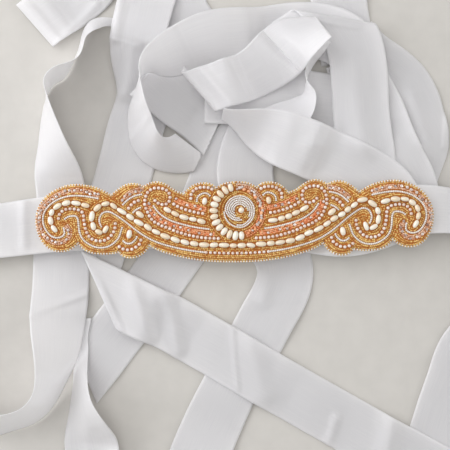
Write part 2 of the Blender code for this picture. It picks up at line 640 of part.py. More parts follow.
def build_applique(low, parent):
    """Backing, bead bed, pearl chains, rosette and single pearls, from the height of the backing's underside."""
    felt = new_material("applique_felt", FELT, 0.9)
    gold = new_material("bead_bed_gold", GOLD, 0.35, 0.4)
    ivory = new_material("pearl_ivory", IVORY, 0.25)
    gap = 0.3
    bed_low = low + BACKING_WALL + gap
    bed_top = bed_low + BED_HEIGHT + gap
    slab_object("applique_backing", applique_outline(0.0), low, BACKING_WALL, 0.0, felt, parent)
    slab_object("bead_bed", applique_outline(BED_INSET), bed_low, BED_HEIGHT, BED_BEVEL, gold, parent)
    chain_object("pearls_lobe_right", LOBE_CHAIN, bed_top, ivory, parent)
    chain_object("pearls_lobe_left", mirrored(LOBE_CHAIN), bed_top, ivory, parent)
    whole_swag = mirrored(SWAG_CHAIN)[:0:-1] + list(SWAG_CHAIN)
    chain_object("pearls_swag", whole_swag, bed_top, ivory, parent)
    chain_object("pearls_tier_right", TIER_CHAIN, bed_top, ivory, parent)
    chain_object("pearls_tier_left", mirrored(TIER_CHAIN), bed_top, ivory, parent)
    ring_object("pearls_rosette_ring", bed_top, ivory, parent)
    middle = worked(CENTRE_MIDDLE)
    disc = [(middle[0] + CENTRE_RADIUS * math.cos(2 * math.pi * index / 36),
             middle[1] + CENTRE_RADIUS * math.sin(2 * math.pi * index / 36)) for index in range(36)]
    slab_object("rosette_spiral", disc, bed_top, CENTRE_HEIGHT, 1.0, ivory, parent)
    for pearl in SINGLE_PEARLS:
        rise = CENTRE_HEIGHT + gap if pearl.name == "pearl_rosette" else 0.0
        pearl_object(pearl, bed_top + rise, ivory, parent)


def lay_ribbon():
    """All stretches in their order, each resting on those before it."""
    ground = HeightMap()
    strips = []
    for stretch in STRETCHES:
        strip = Strip(stretch, ground)
        _, _, plan, height = strip.sheet(0.8, 0.8)
        ground.lay(stretch.name, plan[..., 0], plan[..., 1], height + WALL / 2)
        strips.append(strip)
    return strips, ground


def inside_outline(x, y, outline):
    """Which plan points lie inside a closed outline."""
    inside = np.zeros(x.shape, bool)
    for (x0, y0), (x1, y1) in zip(outline, np.roll(outline, -1, axis=0)):
        crosses = (y0 > y) != (y1 > y)
        if y1 != y0:
            inside ^= crosses & (x < (x1 - x0) * (y - y0) / (y1 - y0) + x0)
    return inside


def applique_height(ground):
    """Underside of the backing, just clear of the highest ribbon beneath it."""
    x, y = np.meshgrid(np.arange(-186.0, 187.0, 1.0), np.arange(-40.0, 41.0, 1.0))
    inside = inside_outline(x, y, applique_outline(0.0))
    return float(ground.top(x[inside], y[inside]).max()) + 0.3


def centre_on_origin(parent):
    """Moves the whole sash so that the middle of its underside's box is at the world's origin."""
    bpy.context.view_layer.update()
    graph = bpy.context.evaluated_depsgraph_get()
    corners = np.array([thing.matrix_world @ Vector(corner) for thing in parent.children
                        for corner in thing.evaluated_get(graph).bound_box])
    low, high = corners.min(axis=0), corners.max(axis=0)
    parent.location = (-0.5 * (low[0] + high[0]), -0.5 * (low[1] + high[1]), -low[2])


def main():
    for thing in list(bpy.data.objects):
        bpy.data.objects.remove(thing, do_unlink=True)
    strips, ground = lay_ribbon()
    parent = bpy.data.objects.new("sash", None)
    bpy.context.scene.collection.objects.link(parent)
    for strip in strips:
        ribbon_object(strip, parent)
    build_applique(applique_height(ground), parent)
    centre_on_origin(parent)


main()
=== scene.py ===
"""Looks of a bridal sash: a satin ribbon dropped in a loose heap, with a beaded applique on its middle.

Plan sizes in the tables are millimetres from the middle of the applique, +X to the right and +Y to the
top of the plan. The frame has its own origin, so every mesh is moved there, and into metres, as it is made.
"""
import json
import logging
import math
from dataclasses import dataclass, field
from enum import Enum

import bmesh
import bpy
import numpy as np
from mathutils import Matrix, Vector

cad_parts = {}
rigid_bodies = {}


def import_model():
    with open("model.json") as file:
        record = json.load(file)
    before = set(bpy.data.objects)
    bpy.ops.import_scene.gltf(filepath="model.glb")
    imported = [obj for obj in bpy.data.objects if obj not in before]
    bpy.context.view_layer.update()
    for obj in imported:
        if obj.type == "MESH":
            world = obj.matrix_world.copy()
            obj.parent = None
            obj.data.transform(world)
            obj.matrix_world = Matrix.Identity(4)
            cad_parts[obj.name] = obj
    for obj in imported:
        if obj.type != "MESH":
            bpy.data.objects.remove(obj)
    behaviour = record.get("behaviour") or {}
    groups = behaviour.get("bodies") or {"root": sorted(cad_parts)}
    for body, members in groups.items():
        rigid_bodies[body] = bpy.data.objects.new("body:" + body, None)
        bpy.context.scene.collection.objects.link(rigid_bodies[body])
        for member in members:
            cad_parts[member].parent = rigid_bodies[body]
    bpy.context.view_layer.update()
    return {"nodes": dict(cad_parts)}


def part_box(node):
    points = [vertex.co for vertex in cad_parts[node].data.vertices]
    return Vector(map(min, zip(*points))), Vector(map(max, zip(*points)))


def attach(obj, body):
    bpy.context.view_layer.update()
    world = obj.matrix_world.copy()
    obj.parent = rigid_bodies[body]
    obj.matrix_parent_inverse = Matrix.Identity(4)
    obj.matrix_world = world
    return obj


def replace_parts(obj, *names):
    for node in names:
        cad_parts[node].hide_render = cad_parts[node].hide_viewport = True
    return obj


LOG = logging.getLogger("sash")

MM = 0.001
TO_MM = 1000.0

Point = tuple[float, float]
Colour = tuple[float, float, float]

# The ribbon, the solids' wall and the gaps between layers and at seams, in millimetres as all sizes here.
RIBBON_WIDTH = 52.0
WALL = 1.0
LAYER_GAP = 0.9
SEAM_GAP = 0.1
# Step along the centre lines, and the lengths over which heights, lean, slants and seams are eased.
FINE_STEP = 2.0
EASE = 14.0
LEAN_EASE = 9.0
SLANT_RUN = 70.0
SQUARE_RUN = 24.0
FOLD_RUN = 20.0
SOFT_RUN = 25.0
# Round a seam, within this share of the ribbon's width, a stretch isn't laid over the one it goes on from.
SEAM_ROOM = 1.7
# Least lean, as a sine, which rounds the change from flat to leaning.
FLAT_LEAN = 0.01
# Grid that keeps the heights of what is laid.
GRID_HALF_X = 380.0
GRID_HALF_Y = 350.0
GRID_CELL = 1.5
# Faint sway of the cloth: wavelength in millimetres, heading and phase of each wave.
SWAY: tuple[tuple[float, float, float], ...] = (
    (58.0, 0.3, 0.4), (74.0, 1.5, 2.1), (66.0, 2.5, 4.0), (47.0, 0.9, 1.2))
SWAY_HEIGHT = 1.1
# Half sizes of the flat place that the applique needs, and the length over which ridges fade in beside it.
FLAT_HALF_X = 180.0
FLAT_HALF_Y = 42.0
FLAT_FADE = 25.0
# Rounds of evening of the heights, and how much of a folded end is laid, with the stretches that differ.
EVEN_ROUNDS = 16
EVENING: dict[str, int] = {"ribbon_heap_fold": 60}
TUCK: dict[str, float] = {"ribbon_heap_fold": 0.62}


@dataclass(frozen=True)
class Row:
    """Place on the centre line of a stretch, with the ribbon's lean there in degrees and its width."""

    x: float
    y: float
    lean: float = 0.0
    width: float = RIBBON_WIDTH


@dataclass(frozen=True)
class Fold:
    """Rounded crease at the start of a stretch, where the ribbon comes from underneath."""

    crease: float
    radius: float
    hidden: float


@dataclass(frozen=True)
class Stretch:
    """One named stretch of the ribbon."""

    name: str
    rows: tuple[Row, ...]
    fold: Fold | None = None
    end_slant: float = 0.0


@dataclass(frozen=True)
class Seam:
    """Place where two stretches of the one ribbon go on from each other, and their common heading."""

    first: str
    second: str
    x: float
    y: float
    heading: float


@dataclass(frozen=True)
class Crease:
    """Soft ridge between two plan places, which also lifts the stretches laid over it."""

    stretch: str
    x0: float
    y0: float
    x1: float
    y1: float
    width: float
    height: float


@dataclass(frozen=True)
class Cut:
    """Slanting end of a stretch: beyond a share of its length, only what is left of a line stays."""

    stretch: str
    share: float
    x0: float
    y0: float
    x1: float
    y1: float


@dataclass(frozen=True)
class Edge:
    """Point of the applique's outline, with a notch where two scallops meet."""

    x: float
    y: float
    notch: bool = False


# Lean is in degrees, positive with the left edge up when looking along the stretch. Stretches are listed
# in the order in which they lie, the lowest first. A fold is a rounded crease at the first row: the ribbon
# comes from underneath, its crease runs at the angle given, and the hidden length lies under the stretch.
STRETCHES: tuple[Stretch, ...] = (
    Stretch("ribbon_top_tail", (
        Row(97, 232, 4), Row(97, 203), Row(101, 175), Row(106, 146))),
    Stretch("ribbon_top_back", (
        Row(-30, 160), Row(-40, 178), Row(-49, 193), Row(-54, 210), Row(-52, 235), Row(-44, 260),
        Row(-36, 285))),
    Stretch("ribbon_top_fold", (
        Row(-184, 182), Row(-160, 199), Row(-141, 213), Row(-125, 229, 16), Row(-116, 246, 16),
        Row(-114, 262, 6)),
        fold=Fold(-49.4, 2.5, 12.0)),
    Stretch("ribbon_right_loop", (
        Row(262, -14), Row(276, -22, -14), Row(292, -43, -40), Row(295, -68, -52), Row(284, -89, -46),
        Row(263, -101, -30), Row(240, -106, -8), Row(221, -112, 6), Row(208, -127, 4), Row(200, -148),
        Row(191, -173), Row(182, -201), Row(173, -230), Row(163, -262)), end_slant=14.0),
    Stretch("ribbon_left_cross", (
        Row(24, 95), Row(9, 78), Row(-5, 61), Row(-16, 42), Row(-25, 20), Row(-38, -2), Row(-58, -30),
        Row(-86, -68), Row(-112, -101), Row(-129, -123), Row(-143, -140)), end_slant=14.0),
    Stretch("ribbon_lower_turn", (
        Row(-147, -88, 0, 24), Row(-146, -104, 0, 14), Row(-144, -117, 3, 9), Row(-145, -127, 36, 14),
        Row(-145, -143, 60, 30), Row(-144, -160, 60, 46), Row(-141, -180, 44), Row(-137, -205, 8),
        Row(-131, -232, 26), Row(-115, -259, 50), Row(-88, -271, 54), Row(-63, -264, 46),
        Row(-48, -246, 24, 54), Row(-42, -228, 8, 55))),
    Stretch("ribbon_left_loop", (
        Row(-162, 0), Row(-163, -34), Row(-164, -70, -8), Row(-164.5, -92, -25), Row(-164, -114, -43),
        Row(-167, -135, -61), Row(-172, -150, -69), Row(-181, -165, -69), Row(-194, -175, -66),
        Row(-211, -180, -65), Row(-233, -183, -56), Row(-257, -181, -44), Row(-282, -173, -38),
        Row(-306, -157, -44), Row(-323, -131, -52), Row(-331, -96, -54), Row(-326, -58, -50),
        Row(-307, -28, -36), Row(-288, -15, -14), Row(-275, -12, -5))),
    Stretch("ribbon_left_drop", (
        Row(-84, 176, 0, 24), Row(-98, 182, 0, 12), Row(-112, 185, 4, 7), Row(-121, 185, 20, 8),
        Row(-128, 182, 48, 16), Row(-134, 174, 72, 32), Row(-138, 163, 79), Row(-141, 153, 75),
        Row(-146, 146, 74), Row(-153, 140, 94), Row(-161, 134, 95), Row(-168, 128, 92),
        Row(-171, 116, 80), Row(-170, 93, 66), Row(-167, 68, 50), Row(-165, 50, 24, 48),
        Row(-163, 34, 4, 46), Row(-162, 16, 0, 46), Row(-162, 1, 0))),
    Stretch("ribbon_right_cross", (
        Row(27, 95), Row(16, 75), Row(9, 54), Row(9, 34), Row(15, 12), Row(27, -10), Row(38, -27),
        Row(44, -46), Row(40, -66), Row(29, -86), Row(18, -106), Row(4, -131), Row(-9, -155),
        Row(-23, -183, 0, 54), Row(-36, -212, 3, 55), Row(-42, -227, 8, 55))),
    Stretch("ribbon_right_edge", (
        Row(107, 166), Row(123, 149), Row(140, 137), Row(157, 121, -3), Row(168, 98, -4),
        Row(178, 81, -10, 40), Row(184, 63, -24, 26), Row(181, 46, -20, 18), Row(174, 28, -6, 18),
        Row(162, 10, 0, 24))),
    Stretch("ribbon_right_inner", (
        Row(109, 147), Row(117, 124), Row(129, 100), Row(139, 71), Row(150, 47), Row(159, 27),
        Row(161, 8))),
    Stretch("ribbon_top_drop", (
        Row(-40, 300), Row(-47, 280), Row(-57, 258), Row(-68, 235), Row(-76, 218), Row(-81, 203, 2),
        Row(-86, 184, 4), Row(-89, 166, 6), Row(-88, 150, 7), Row(-84, 130, 5), Row(-84, 114, 2),
        Row(-90, 95), Row(-98, 66, -4), Row(-107, 35), Row(-116, 9), Row(-124, -11), Row(-131, -31)),
        end_slant=34.0),
    Stretch("ribbon_top_arch", (
        Row(97, 233, 5), Row(95, 254, 30), Row(80, 279, 50), Row(50, 294, 45), Row(0, 301, 20),
        Row(-50, 305, 20), Row(-83, 300, 40), Row(-106, 284, 44), Row(-114, 263, 10))),
    Stretch("ribbon_diagonal", (
        Row(-125, -63), Row(-105, -73), Row(-85, -83), Row(-64, -93), Row(-40, -107), Row(-20, -118.5),
        Row(19, -142), Row(56, -164), Row(97, -188), Row(139, -212), Row(184, -237), Row(212, -252)),
        fold=Fold(-66.5, 2.2, 10.0), end_slant=-16.0),
    Stretch("ribbon_under_strip", (
        Row(-80, 137), Row(-67, 126), Row(-55, 115), Row(-37, 102), Row(-15, 82), Row(-1, 66))),
    Stretch("ribbon_mid_strip", (
        Row(-28, 116), Row(0, 115), Row(32, 115), Row(69, 111), Row(108, 103))),
    Stretch("ribbon_heap_ring", (
        Row(111, 156), Row(97, 167), Row(77, 174), Row(51, 175), Row(15, 170, -2), Row(-8, 168, -12),
        Row(-35, 161, -36), Row(-55, 151, -43), Row(-69, 145, -58), Row(-78, 141, -76),
        Row(-83, 136, -92), Row(-86, 128, -96), Row(-87, 117, -102), Row(-88, 102, -114),
        Row(-87, 92, -120), Row(-84.5, 80, -124, 50), Row(-78, 68, -127, 46), Row(-66, 61, -132, 42),
        Row(-50, 62, -146, 42), Row(-34, 70, -166, 46)), end_slant=-8.0),
    Stretch("ribbon_heap_drop", (
        Row(96, 182), Row(108, 163), Row(112, 145), Row(114, 122), Row(115, 97), Row(117, 74),
        Row(119, 50), Row(112, 28), Row(101, 10)),
        fold=Fold(-10.0, 3.0, 14.0)),
    Stretch("ribbon_heap_return", (
        Row(84, 164, -50, 14), Row(77, 153, -62, 14), Row(70, 144, -64, 15), Row(66, 135, -68, 15),
        Row(65, 128, -82, 16), Row(66, 121, -100, 18), Row(67, 115, -122, 22), Row(64, 108, -136, 29),
        Row(57, 100, -146, 34), Row(46, 93, -158, 36), Row(34, 87, -170, 36))),
    Stretch("ribbon_heap_fold", (
        Row(-29, 117, 0, 42), Row(-12, 122, 8, 42), Row(5, 128, 24, 46), Row(22, 137, 28, 50),
        Row(39, 150, 8), Row(53, 161, -22), Row(66, 167, -42), Row(79, 172, -60)),
        fold=Fold(-50.0, 3.6, 7.0)),
    Stretch("ribbon_heap_sweep", (
        Row(-12, 96, 78, 30), Row(-4, 93, 72, 32), Row(8, 88, 54, 42), Row(24, 81, 32, 48),
        Row(43, 73, 14), Row(61, 66, 4), Row(90, 53), Row(120, 38), Row(137, 25), Row(147, 6))),
    Stretch("ribbon_waist", (
        Row(-275, -12, -4), Row(-248, -8, -14), Row(-220, -6, -16), Row(-184, -2, -8), Row(-127, 1),
        Row(-71, 1), Row(0, 0), Row(58, -3), Row(98, -8), Row(125, -3), Row(150, 5, 0, 50),
        Row(175, 8, -4, 44), Row(200, 6, -14, 42), Row(222, 3, -20, 46), Row(244, -5, -12),
        Row(262, -14, 0))),
)

# Places in the order of laying.
ORDER: dict[str, int] = {stretch.name: place for place, stretch in enumerate(STRETCHES)}

# Where two solids of the one ribbon meet end to end, with the common heading of both in degrees.
SEAMS: tuple[Seam, ...] = (
    Seam("ribbon_left_drop", "ribbon_left_loop", -162, 0, -91),
    Seam("ribbon_right_cross", "ribbon_lower_turn", -42, -227, -113),
    Seam("ribbon_top_tail", "ribbon_top_arch", 97, 232, 91),
    Seam("ribbon_top_fold", "ribbon_top_arch", -114, 262, 91),
    Seam("ribbon_left_loop", "ribbon_waist", -275, -12, 8),
    Seam("ribbon_waist", "ribbon_right_loop", 262, -14, -25),
)

# Soft ridges that the light shows, from plan place to plan place, with their width and height.
CREASES: tuple[Crease, ...] = (
    Crease("ribbon_left_loop", -190, -83, -139, -65, 3.5, 2.2),
    Crease("ribbon_left_loop", -182, -163, -148, -125, 3.5, 2.6),
    Crease("ribbon_top_fold", -191, 203, -160, 166, 4.5, 2.0),
    Crease("ribbon_top_fold", -127, 202, -160, 168, 3.5, 1.8),
    Crease("ribbon_top_drop", -104, 204, -110, 169, 4.5, 2.4),
    Crease("ribbon_top_drop", -115, 170, -87, 162, 3.5, 2.0),
    Crease("ribbon_top_drop", -95, 158, -103, 120, 8.0, 4.5),
    Crease("ribbon_heap_ring", -97, 74, -78, 92, 3.5, 2.0),
    Crease("ribbon_heap_fold", -35, 140, -6, 106, 6.0, 3.5),
    Crease("ribbon_heap_drop", 62, 184, 112, 175, 3.0, 1.6),
    Crease("ribbon_heap_drop", 107, 146, 115, 63, 14.0, 4.5),
    Crease("ribbon_heap_sweep", 82, 89, 65, 49, 13.0, 5.0),
    Crease("ribbon_right_edge", 164, 111, 175, 72, 7.0, 2.5),
    Crease("ribbon_right_edge", 196, 92, 193, 66, 4.0, 2.0),
    Crease("ribbon_diagonal", -97, -56, -82, -105, 6.5, 3.0),
    Crease("ribbon_diagonal", -65, -69, -56, -118, 7.0, 3.5),
    Crease("ribbon_diagonal", -140, -25, -107, -98, 3.0, 1.8),
    Crease("ribbon_diagonal", -6, -99, -2, -156, 2.5, 1.6),
    Crease("ribbon_diagonal", 10, -115, 21, -161, 12.0, 3.5),
    Crease("ribbon_diagonal", 82, -205, 89, -185, 4.0, 2.2),
    Crease("ribbon_diagonal", 141, -185, 134, -216, 9.0, 4.0),
    Crease("ribbon_left_cross", -90, -42, -38, -43, 4.0, 2.0),
    Crease("ribbon_waist", -196, 19, -195, -20, 5.0, 2.4),
    Crease("ribbon_waist", -178, 21, -177, -15, 4.0, 1.6),
    Crease("ribbon_right_cross", 28, -50, 22, -73, 8.0, 2.5),
    Crease("ribbon_lower_turn", -143, -139, -139, -207, 8.0, 2.5),
)

# Ends that would show beside the heap, each cut along lines that keep what is on their left.
CUTS: tuple[Cut, ...] = (
    Cut("ribbon_heap_ring", 0.86, -33.0, 63.4, -67.5, 88.6),
    Cut("ribbon_heap_ring", 0.86, -39.7, 45.2, -24.7, 74.2),
    Cut("ribbon_under_strip", 0.50, -27.6, 65.4, -11.5, 98.3),
)

# Right half of the scalloped edge, from the top of the middle to the bottom; the left half mirrors it.
OUTLINE: tuple[Edge, ...] = (
    Edge(0, 35), Edge(10, 34), Edge(19, 29.5, True), Edge(23, 33), Edge(30, 34.5), Edge(38, 33),
    Edge(44, 29), Edge(48, 24.5, True), Edge(56, 27.5), Edge(64, 33), Edge(73, 36), Edge(80, 34.5),
    Edge(85, 31.8, True), Edge(92, 34.5), Edge(100, 34), Edge(108, 29.5), Edge(114.5, 24.2, True),
    Edge(121, 28), Edge(130, 32), Edge(140, 34), Edge(150, 34.4), Edge(160, 32), Edge(169, 27.5),
    Edge(176, 21), Edge(181, 12), Edge(182.5, 2), Edge(181, -8), Edge(177.5, -16), Edge(171, -22.5),
    Edge(163, -25.3), Edge(154, -24), Edge(145, -17.5, True), Edge(141, -22.5), Edge(134, -26.5),
    Edge(124, -28), Edge(115, -27.8), Edge(108, -26.6, True), Edge(104, -30.5), Edge(97, -32),
    Edge(89.5, -30), Edge(83.5, -25), Edge(80.5, -20.5, True), Edge(72, -25.2), Edge(62, -28.8),
    Edge(50, -32), Edge(37, -34.5), Edge(20, -36.4), Edge(0, -37),
)

# The left half of the applique is worked a little longer than the right, and both a little less deep.
SHARE_LEFT = 0.992
SHARE_RIGHT = 0.966
SHARE_DEEP = 0.98
# Rice pearls, and the rosette with its ring of them, in millimetres and degrees.
PEARL_LONG = 8.6
PEARL_RADIUS = 2.4
RING_MIDDLE = (1.0, 8.8)
RING_RADIUS = 22.2
RING_FROM = 100.0
RING_TO = 284.0
RING_PEARLS = 13
CENTRE_MIDDLE = (3.0, 9.2)
# Angle in degrees, and the inner and outer radius of the rosette's white seeds there.
SPIRAL: tuple[tuple[float, float, float], ...] = (
    (-75, 6.8, 8.2), (-110, 6.2, 9.4), (-150, 5.2, 11.5), (-180, 4.7, 13.6), (-225, 4.7, 13.6),
    (-270, 4.7, 13.2), (-315, 5.6, 12.6), (-360, 7.6, 12.4), (-405, 10.2, 13.4), (-436, 12.5, 14.9),
    (-460, 13.2, 15.0), (-485, 13.9, 15.0), (-515, 14.4, 14.8), (-530, 14.5, 14.6))


class BeadKind(Enum):
    """Beads that lines and bands are worked with, by the name of their cloud."""

    WHITE = "white"
    ROUND = "round"
    RICE = "rice"
    CORAL = "coral"
    BLUSH = "blush"


@dataclass(frozen=True)
class BeadLine:
    """Line of the right half that beads of one kind follow; the left half mirrors it."""

    name: str
    kind: BeadKind
    points: tuple[Point, ...]


RICE_LINES: tuple[BeadLine, ...] = (
    BeadLine("pearls_lobe", BeadKind.RICE, (
        (134, 14.5), (145, 18), (153, 18.5), (161.5, 16.4), (168, 10.4), (169, 2), (164, -8.5))),
    BeadLine("pearls_tier", BeadKind.RICE, (
        (66.6, 12.8), (56.3, 7), (47.9, 3.7), (39.3, 1.5), (28.6, -1))),
)
SWAG: tuple[Point, ...] = (
    (0, -22.7), (26, -21.8), (41.5, -20.2), (55.5, -16.9), (66.5, -12.5), (78, -7.4), (88, -0.9),
    (96.3, 4), (103.3, 8.8), (109.3, 13), (116.7, 17.2), (124.5, 15.4), (130.6, 9), (131.6, 0),
    (128.4, -7), (121.6, -8.8), (118.4, -2.4))
LINES: tuple[BeadLine, ...] = (
    BeadLine("lobe_line", BeadKind.WHITE, (
        (126.5, 22.3), (136.2, 24.2), (148.6, 25.1), (159.2, 23.2), (169.2, 17.7), (175, 10.6),
        (176.6, 1.8), (173.4, -7.1), (168.1, -12.4), (161.9, -13.2), (157.6, -10.6), (157.9, -4.6))),
    BeadLine("scroll_line", BeadKind.WHITE, (
        (156.7, 3.8), (153.9, 5.7), (150.1, 6.5), (146.3, 6), (144.8, 3), (144.2, -2.6), (143.3, -9.1),
        (140.6, -14.9), (135.8, -19.2), (130.2, -22.1), (123.6, -23.1), (117, -21.8), (111.4, -18.1),
        (107.6, -13.3), (105.7, -7.8), (104.7, -5))),
    BeadLine("swag_line", BeadKind.WHITE, (
        (123.6, -3.7), (125.4, 1), (124.6, 5.7), (121.8, 9.1), (117, 10), (111.4, 7.5), (101.9, 0.7),
        (92.6, -7), (83.1, -13.7), (73.5, -18.6), (59.3, -23.2), (43.5, -26.7), (33.3, -28.2),
        (28.7, -28.7))),
    BeadLine("low_scallop_line", BeadKind.WHITE, (
        (103.8, -17.3), (101.6, -19.1), (99.1, -19.7), (96.5, -19.3), (94.5, -17.8), (92.6, -15.9),
        (91.5, -13.5))),
    BeadLine("fan_inner_line", BeadKind.WHITE, ((94.5, 9), (91.4, 11.7), (88, 13.3))),
    BeadLine("fan_outer_line", BeadKind.WHITE, ((103.7, 16.3), (98.2, 21.4), (92.6, 24.2), (86.8, 25.5))),
    BeadLine("volute_line", BeadKind.WHITE, (
        (75.9, 14.6), (72, 9.2), (66.7, 4.6), (59.5, 0.6), (51.6, -2.1), (42.6, -4.5), (33, -6.4),
        (26, -7.3))),
    BeadLine("top_scallop_line", BeadKind.WHITE, (
        (36.5, 18.4), (35.8, 22.2), (33.3, 24.5), (30.1, 25.7), (26.9, 25.4), (24.6, 23.5))),
    BeadLine("scroll_pearls", BeadKind.ROUND, (
        (162.4, 4.3), (161.4, 8.3), (158.3, 11.5), (153.9, 13), (148.6, 12.9), (143.3, 11.7),
        (140.2, 8.9), (139.5, 4.3), (138.9, -0.8), (137.5, -6.9), (135.2, -12), (131.5, -15.4),
        (126.9, -16.7), (122.2, -16.6), (117.6, -14.7), (113.9, -10.9), (111.5, -6.3), (110.8, -1.1))),
    BeadLine("low_scallop_pearls", BeadKind.ROUND, (
        (107.6, -22.4), (104.3, -24.4), (100.5, -25.4), (96.3, -25), (92.6, -23.1), (89.2, -20.3),
        (87.8, -16.6))),
    BeadLine("fan_pearls", BeadKind.ROUND, ((98.6, 12.9), (96.3, 15.7), (93, 18.5), (89.6, 19.8))),
    BeadLine("volute_pearls", BeadKind.ROUND, (
        (74.5, 19.6), (71.3, 16.9), (67.4, 15.8), (63.6, 16.6), (61.3, 19.4), (60.8, 23.1), (62.2, 27.3),
        (65.7, 29.9), (70.7, 31), (74.6, 31), (78.3, 29.6), (81.1, 27.2), (82.6, 24.3), (83.5, 21.2),
        (83.9, 17.8), (83.6, 14.5), (82, 10.8), (80.6, 6.9), (78.3, 3.1), (75.6, 0.2), (72.2, -1.7),
        (68.7, -3.7), (64.5, -5.2), (56.9, -8.5), (50, -10.9), (41.4, -13.3), (34.3, -14.8), (25, -15.8),
        (17.5, -16.1))),
    BeadLine("tier_pearls", BeadKind.ROUND, (
        (57.4, 16.1), (54.3, 14.1), (50.7, 12.4), (46.7, 10.8), (43.2, 9.7), (39.6, 8.7), (35.7, 7.7),
        (31.2, 7.1))),
    BeadLine("top_scallop_pearls", BeadKind.ROUND, (
        (41.9, 21), (41.5, 25.1), (39.4, 28.3), (36.8, 30), (33, 31), (29.3, 31.2), (25.4, 30.6),
        (22.6, 29.3))),
)
SWAG_MIDDLE_PEARLS: tuple[Point, ...] = (
    (-28.7, -28.7), (-14.8, -29.5), (0, -29.8), (14.8, -29.5), (28.7, -28.7))


@dataclass(frozen=True)
class Stringing:
    """How beads are strung on a line: pitch, size, height over the bed, and half the line's width."""

    cloud: str
    pitch: float
    size: Point
    height: float
    half: float


STRINGINGS: dict[BeadKind, Stringing] = {
    BeadKind.WHITE: Stringing("white", 1.62, (1.5, 2.0), 0.85, 1.0),
    BeadKind.ROUND: Stringing("round", 3.75, (3.05, 3.15), 1.15, 1.8),
}
SWAG_MIDDLE = Stringing("round", 4.0, (2.9, 2.9), 1.05, 1.5)


@dataclass(frozen=True)
class Band:
    """Band of small mixed beads along a line of the right half."""

    name: str
    kind: BeadKind
    half: float
    crystal_pitch: float
    points: tuple[Point, ...]


BANDS: tuple[Band, ...] = (
    Band("lobe_band", BeadKind.BLUSH, 2.5, 4.2, (
        (125.9, 25.2), (139.7, 29.0), (149.5, 29.8), (159.2, 27.6), (170, 21.2), (177.0, 14.1),
        (180.1, 6.2), (180.1, -0.8), (177.0, -8.8), (172.0, -14.6), (164.6, -17.7), (157.6, -16.7),
        (153.5, -12.4), (152.8, -7.4), (155.7, -2.9))),
    Band("fan_band", BeadKind.BLUSH, 2.2, 4.0, ((104.6, 20.0), (99.1, 25.4), (92.5, 28.6), (85.2, 29.8))),
    Band("volute_band", BeadKind.CORAL, 2.6, 7.5, (
        (80.2, 17.3), (79.2, 13.1), (75.9, 7.5), (71.3, 2.9), (64.8, -0.9), (56.5, -4.0), (45.4, -7.3),
        (34.3, -10.0), (21.5, -11.9))),
    Band("tier_band", BeadKind.CORAL, 2.6, 7.5, ((56.0, 20.5), (49.1, 17.2), (41.7, 14.5), (33.9, 12.3),
    (28.6, 11.2))),
)


@dataclass(frozen=True)
class SinglePearl:
    """Large pearl that lies by itself on its side, maybe raised; its name is that of its solid."""

    name: str
    x: float
    y: float
    length: float
    radius: float
    turn: float
    rise: float = 0.0


SINGLE_PEARLS: tuple[SinglePearl, ...] = (
    SinglePearl("pearl_rosette", 3.8, 9.6, 5.2, 2.6, 60.0, 1.6),
    SinglePearl("pearl_oval_low_left", -98.2, -10.9, 8.0, 2.5, 80.0),
    SinglePearl("pearl_oval_low_right", 98.2, -10.9, 8.0, 2.5, 100.0),
    SinglePearl("pearl_drop_left", -88.2, 7.0, 8.2, 2.5, -38.0),
    SinglePearl("pearl_drop_right", 88.2, 7.0, 8.2, 2.5, 38.0),
    SinglePearl("pearl_oval_top_left", -29.4, 18.4, 6.6, 2.3, 80.0),
    SinglePearl("pearl_oval_top_right", 29.4, 18.4, 6.6, 2.3, 100.0),
)


def natural_spline(knots: np.ndarray, values: np.ndarray, at: np.ndarray) -> np.ndarray:
    """Smooth curve of continuous curvature through values at the knots.

    Args:
        knots: Rising places of the values.
        values: One value or one row of values for each knot.
        at: Places to read.

    Returns:
        The values at the places read.
    """
    knots = np.asarray(knots, float)
    values = np.asarray(values, float)
    count = len(knots)
    gaps = np.diff(knots)
    matrix = np.zeros((count, count))
    right = np.zeros((count,) + values.shape[1:])
    matrix[0, 0] = matrix[-1, -1] = 1.0
    for index in range(1, count - 1):
        matrix[index, index - 1] = gaps[index - 1]
        matrix[index, index] = 2.0 * (gaps[index - 1] + gaps[index])
        matrix[index, index + 1] = gaps[index]
        slope_after = (values[index + 1] - values[index]) / gaps[index]
        slope_before = (values[index] - values[index - 1]) / gaps[index - 1]
        right[index] = 6.0 * (slope_after - slope_before)
    bend = np.linalg.solve(matrix, right)
    at = np.asarray(at, float)
    cell = np.clip(np.searchsorted(knots, at) - 1, 0, count - 2)
    width = gaps[cell]
    ahead = knots[cell + 1] - at
    behind = at - knots[cell]
    if values.ndim > 1:
        width, ahead, behind = width[:, None], ahead[:, None], behind[:, None]
    curve = (bend[cell] * ahead ** 3 + bend[cell + 1] * behind ** 3) / (6.0 * width)
    curve += (values[cell] / width - bend[cell] * width / 6.0) * ahead
    curve += (values[cell + 1] / width - bend[cell + 1] * width / 6.0) * behind
    return curve


def distances(line: np.ndarray) -> np.ndarray:
    """Distance along a line of each of its points."""
    return np.concatenate([[0.0], np.cumsum(np.hypot(*np.diff(line, axis=0).T))])


def points_at(line: np.ndarray, run: np.ndarray, places: np.ndarray) -> np.ndarray:
    """Points of a line at places along it, given the distances of its own points."""
    return np.stack([np.interp(places, run, line[:, axis]) for axis in range(2)], axis=1)


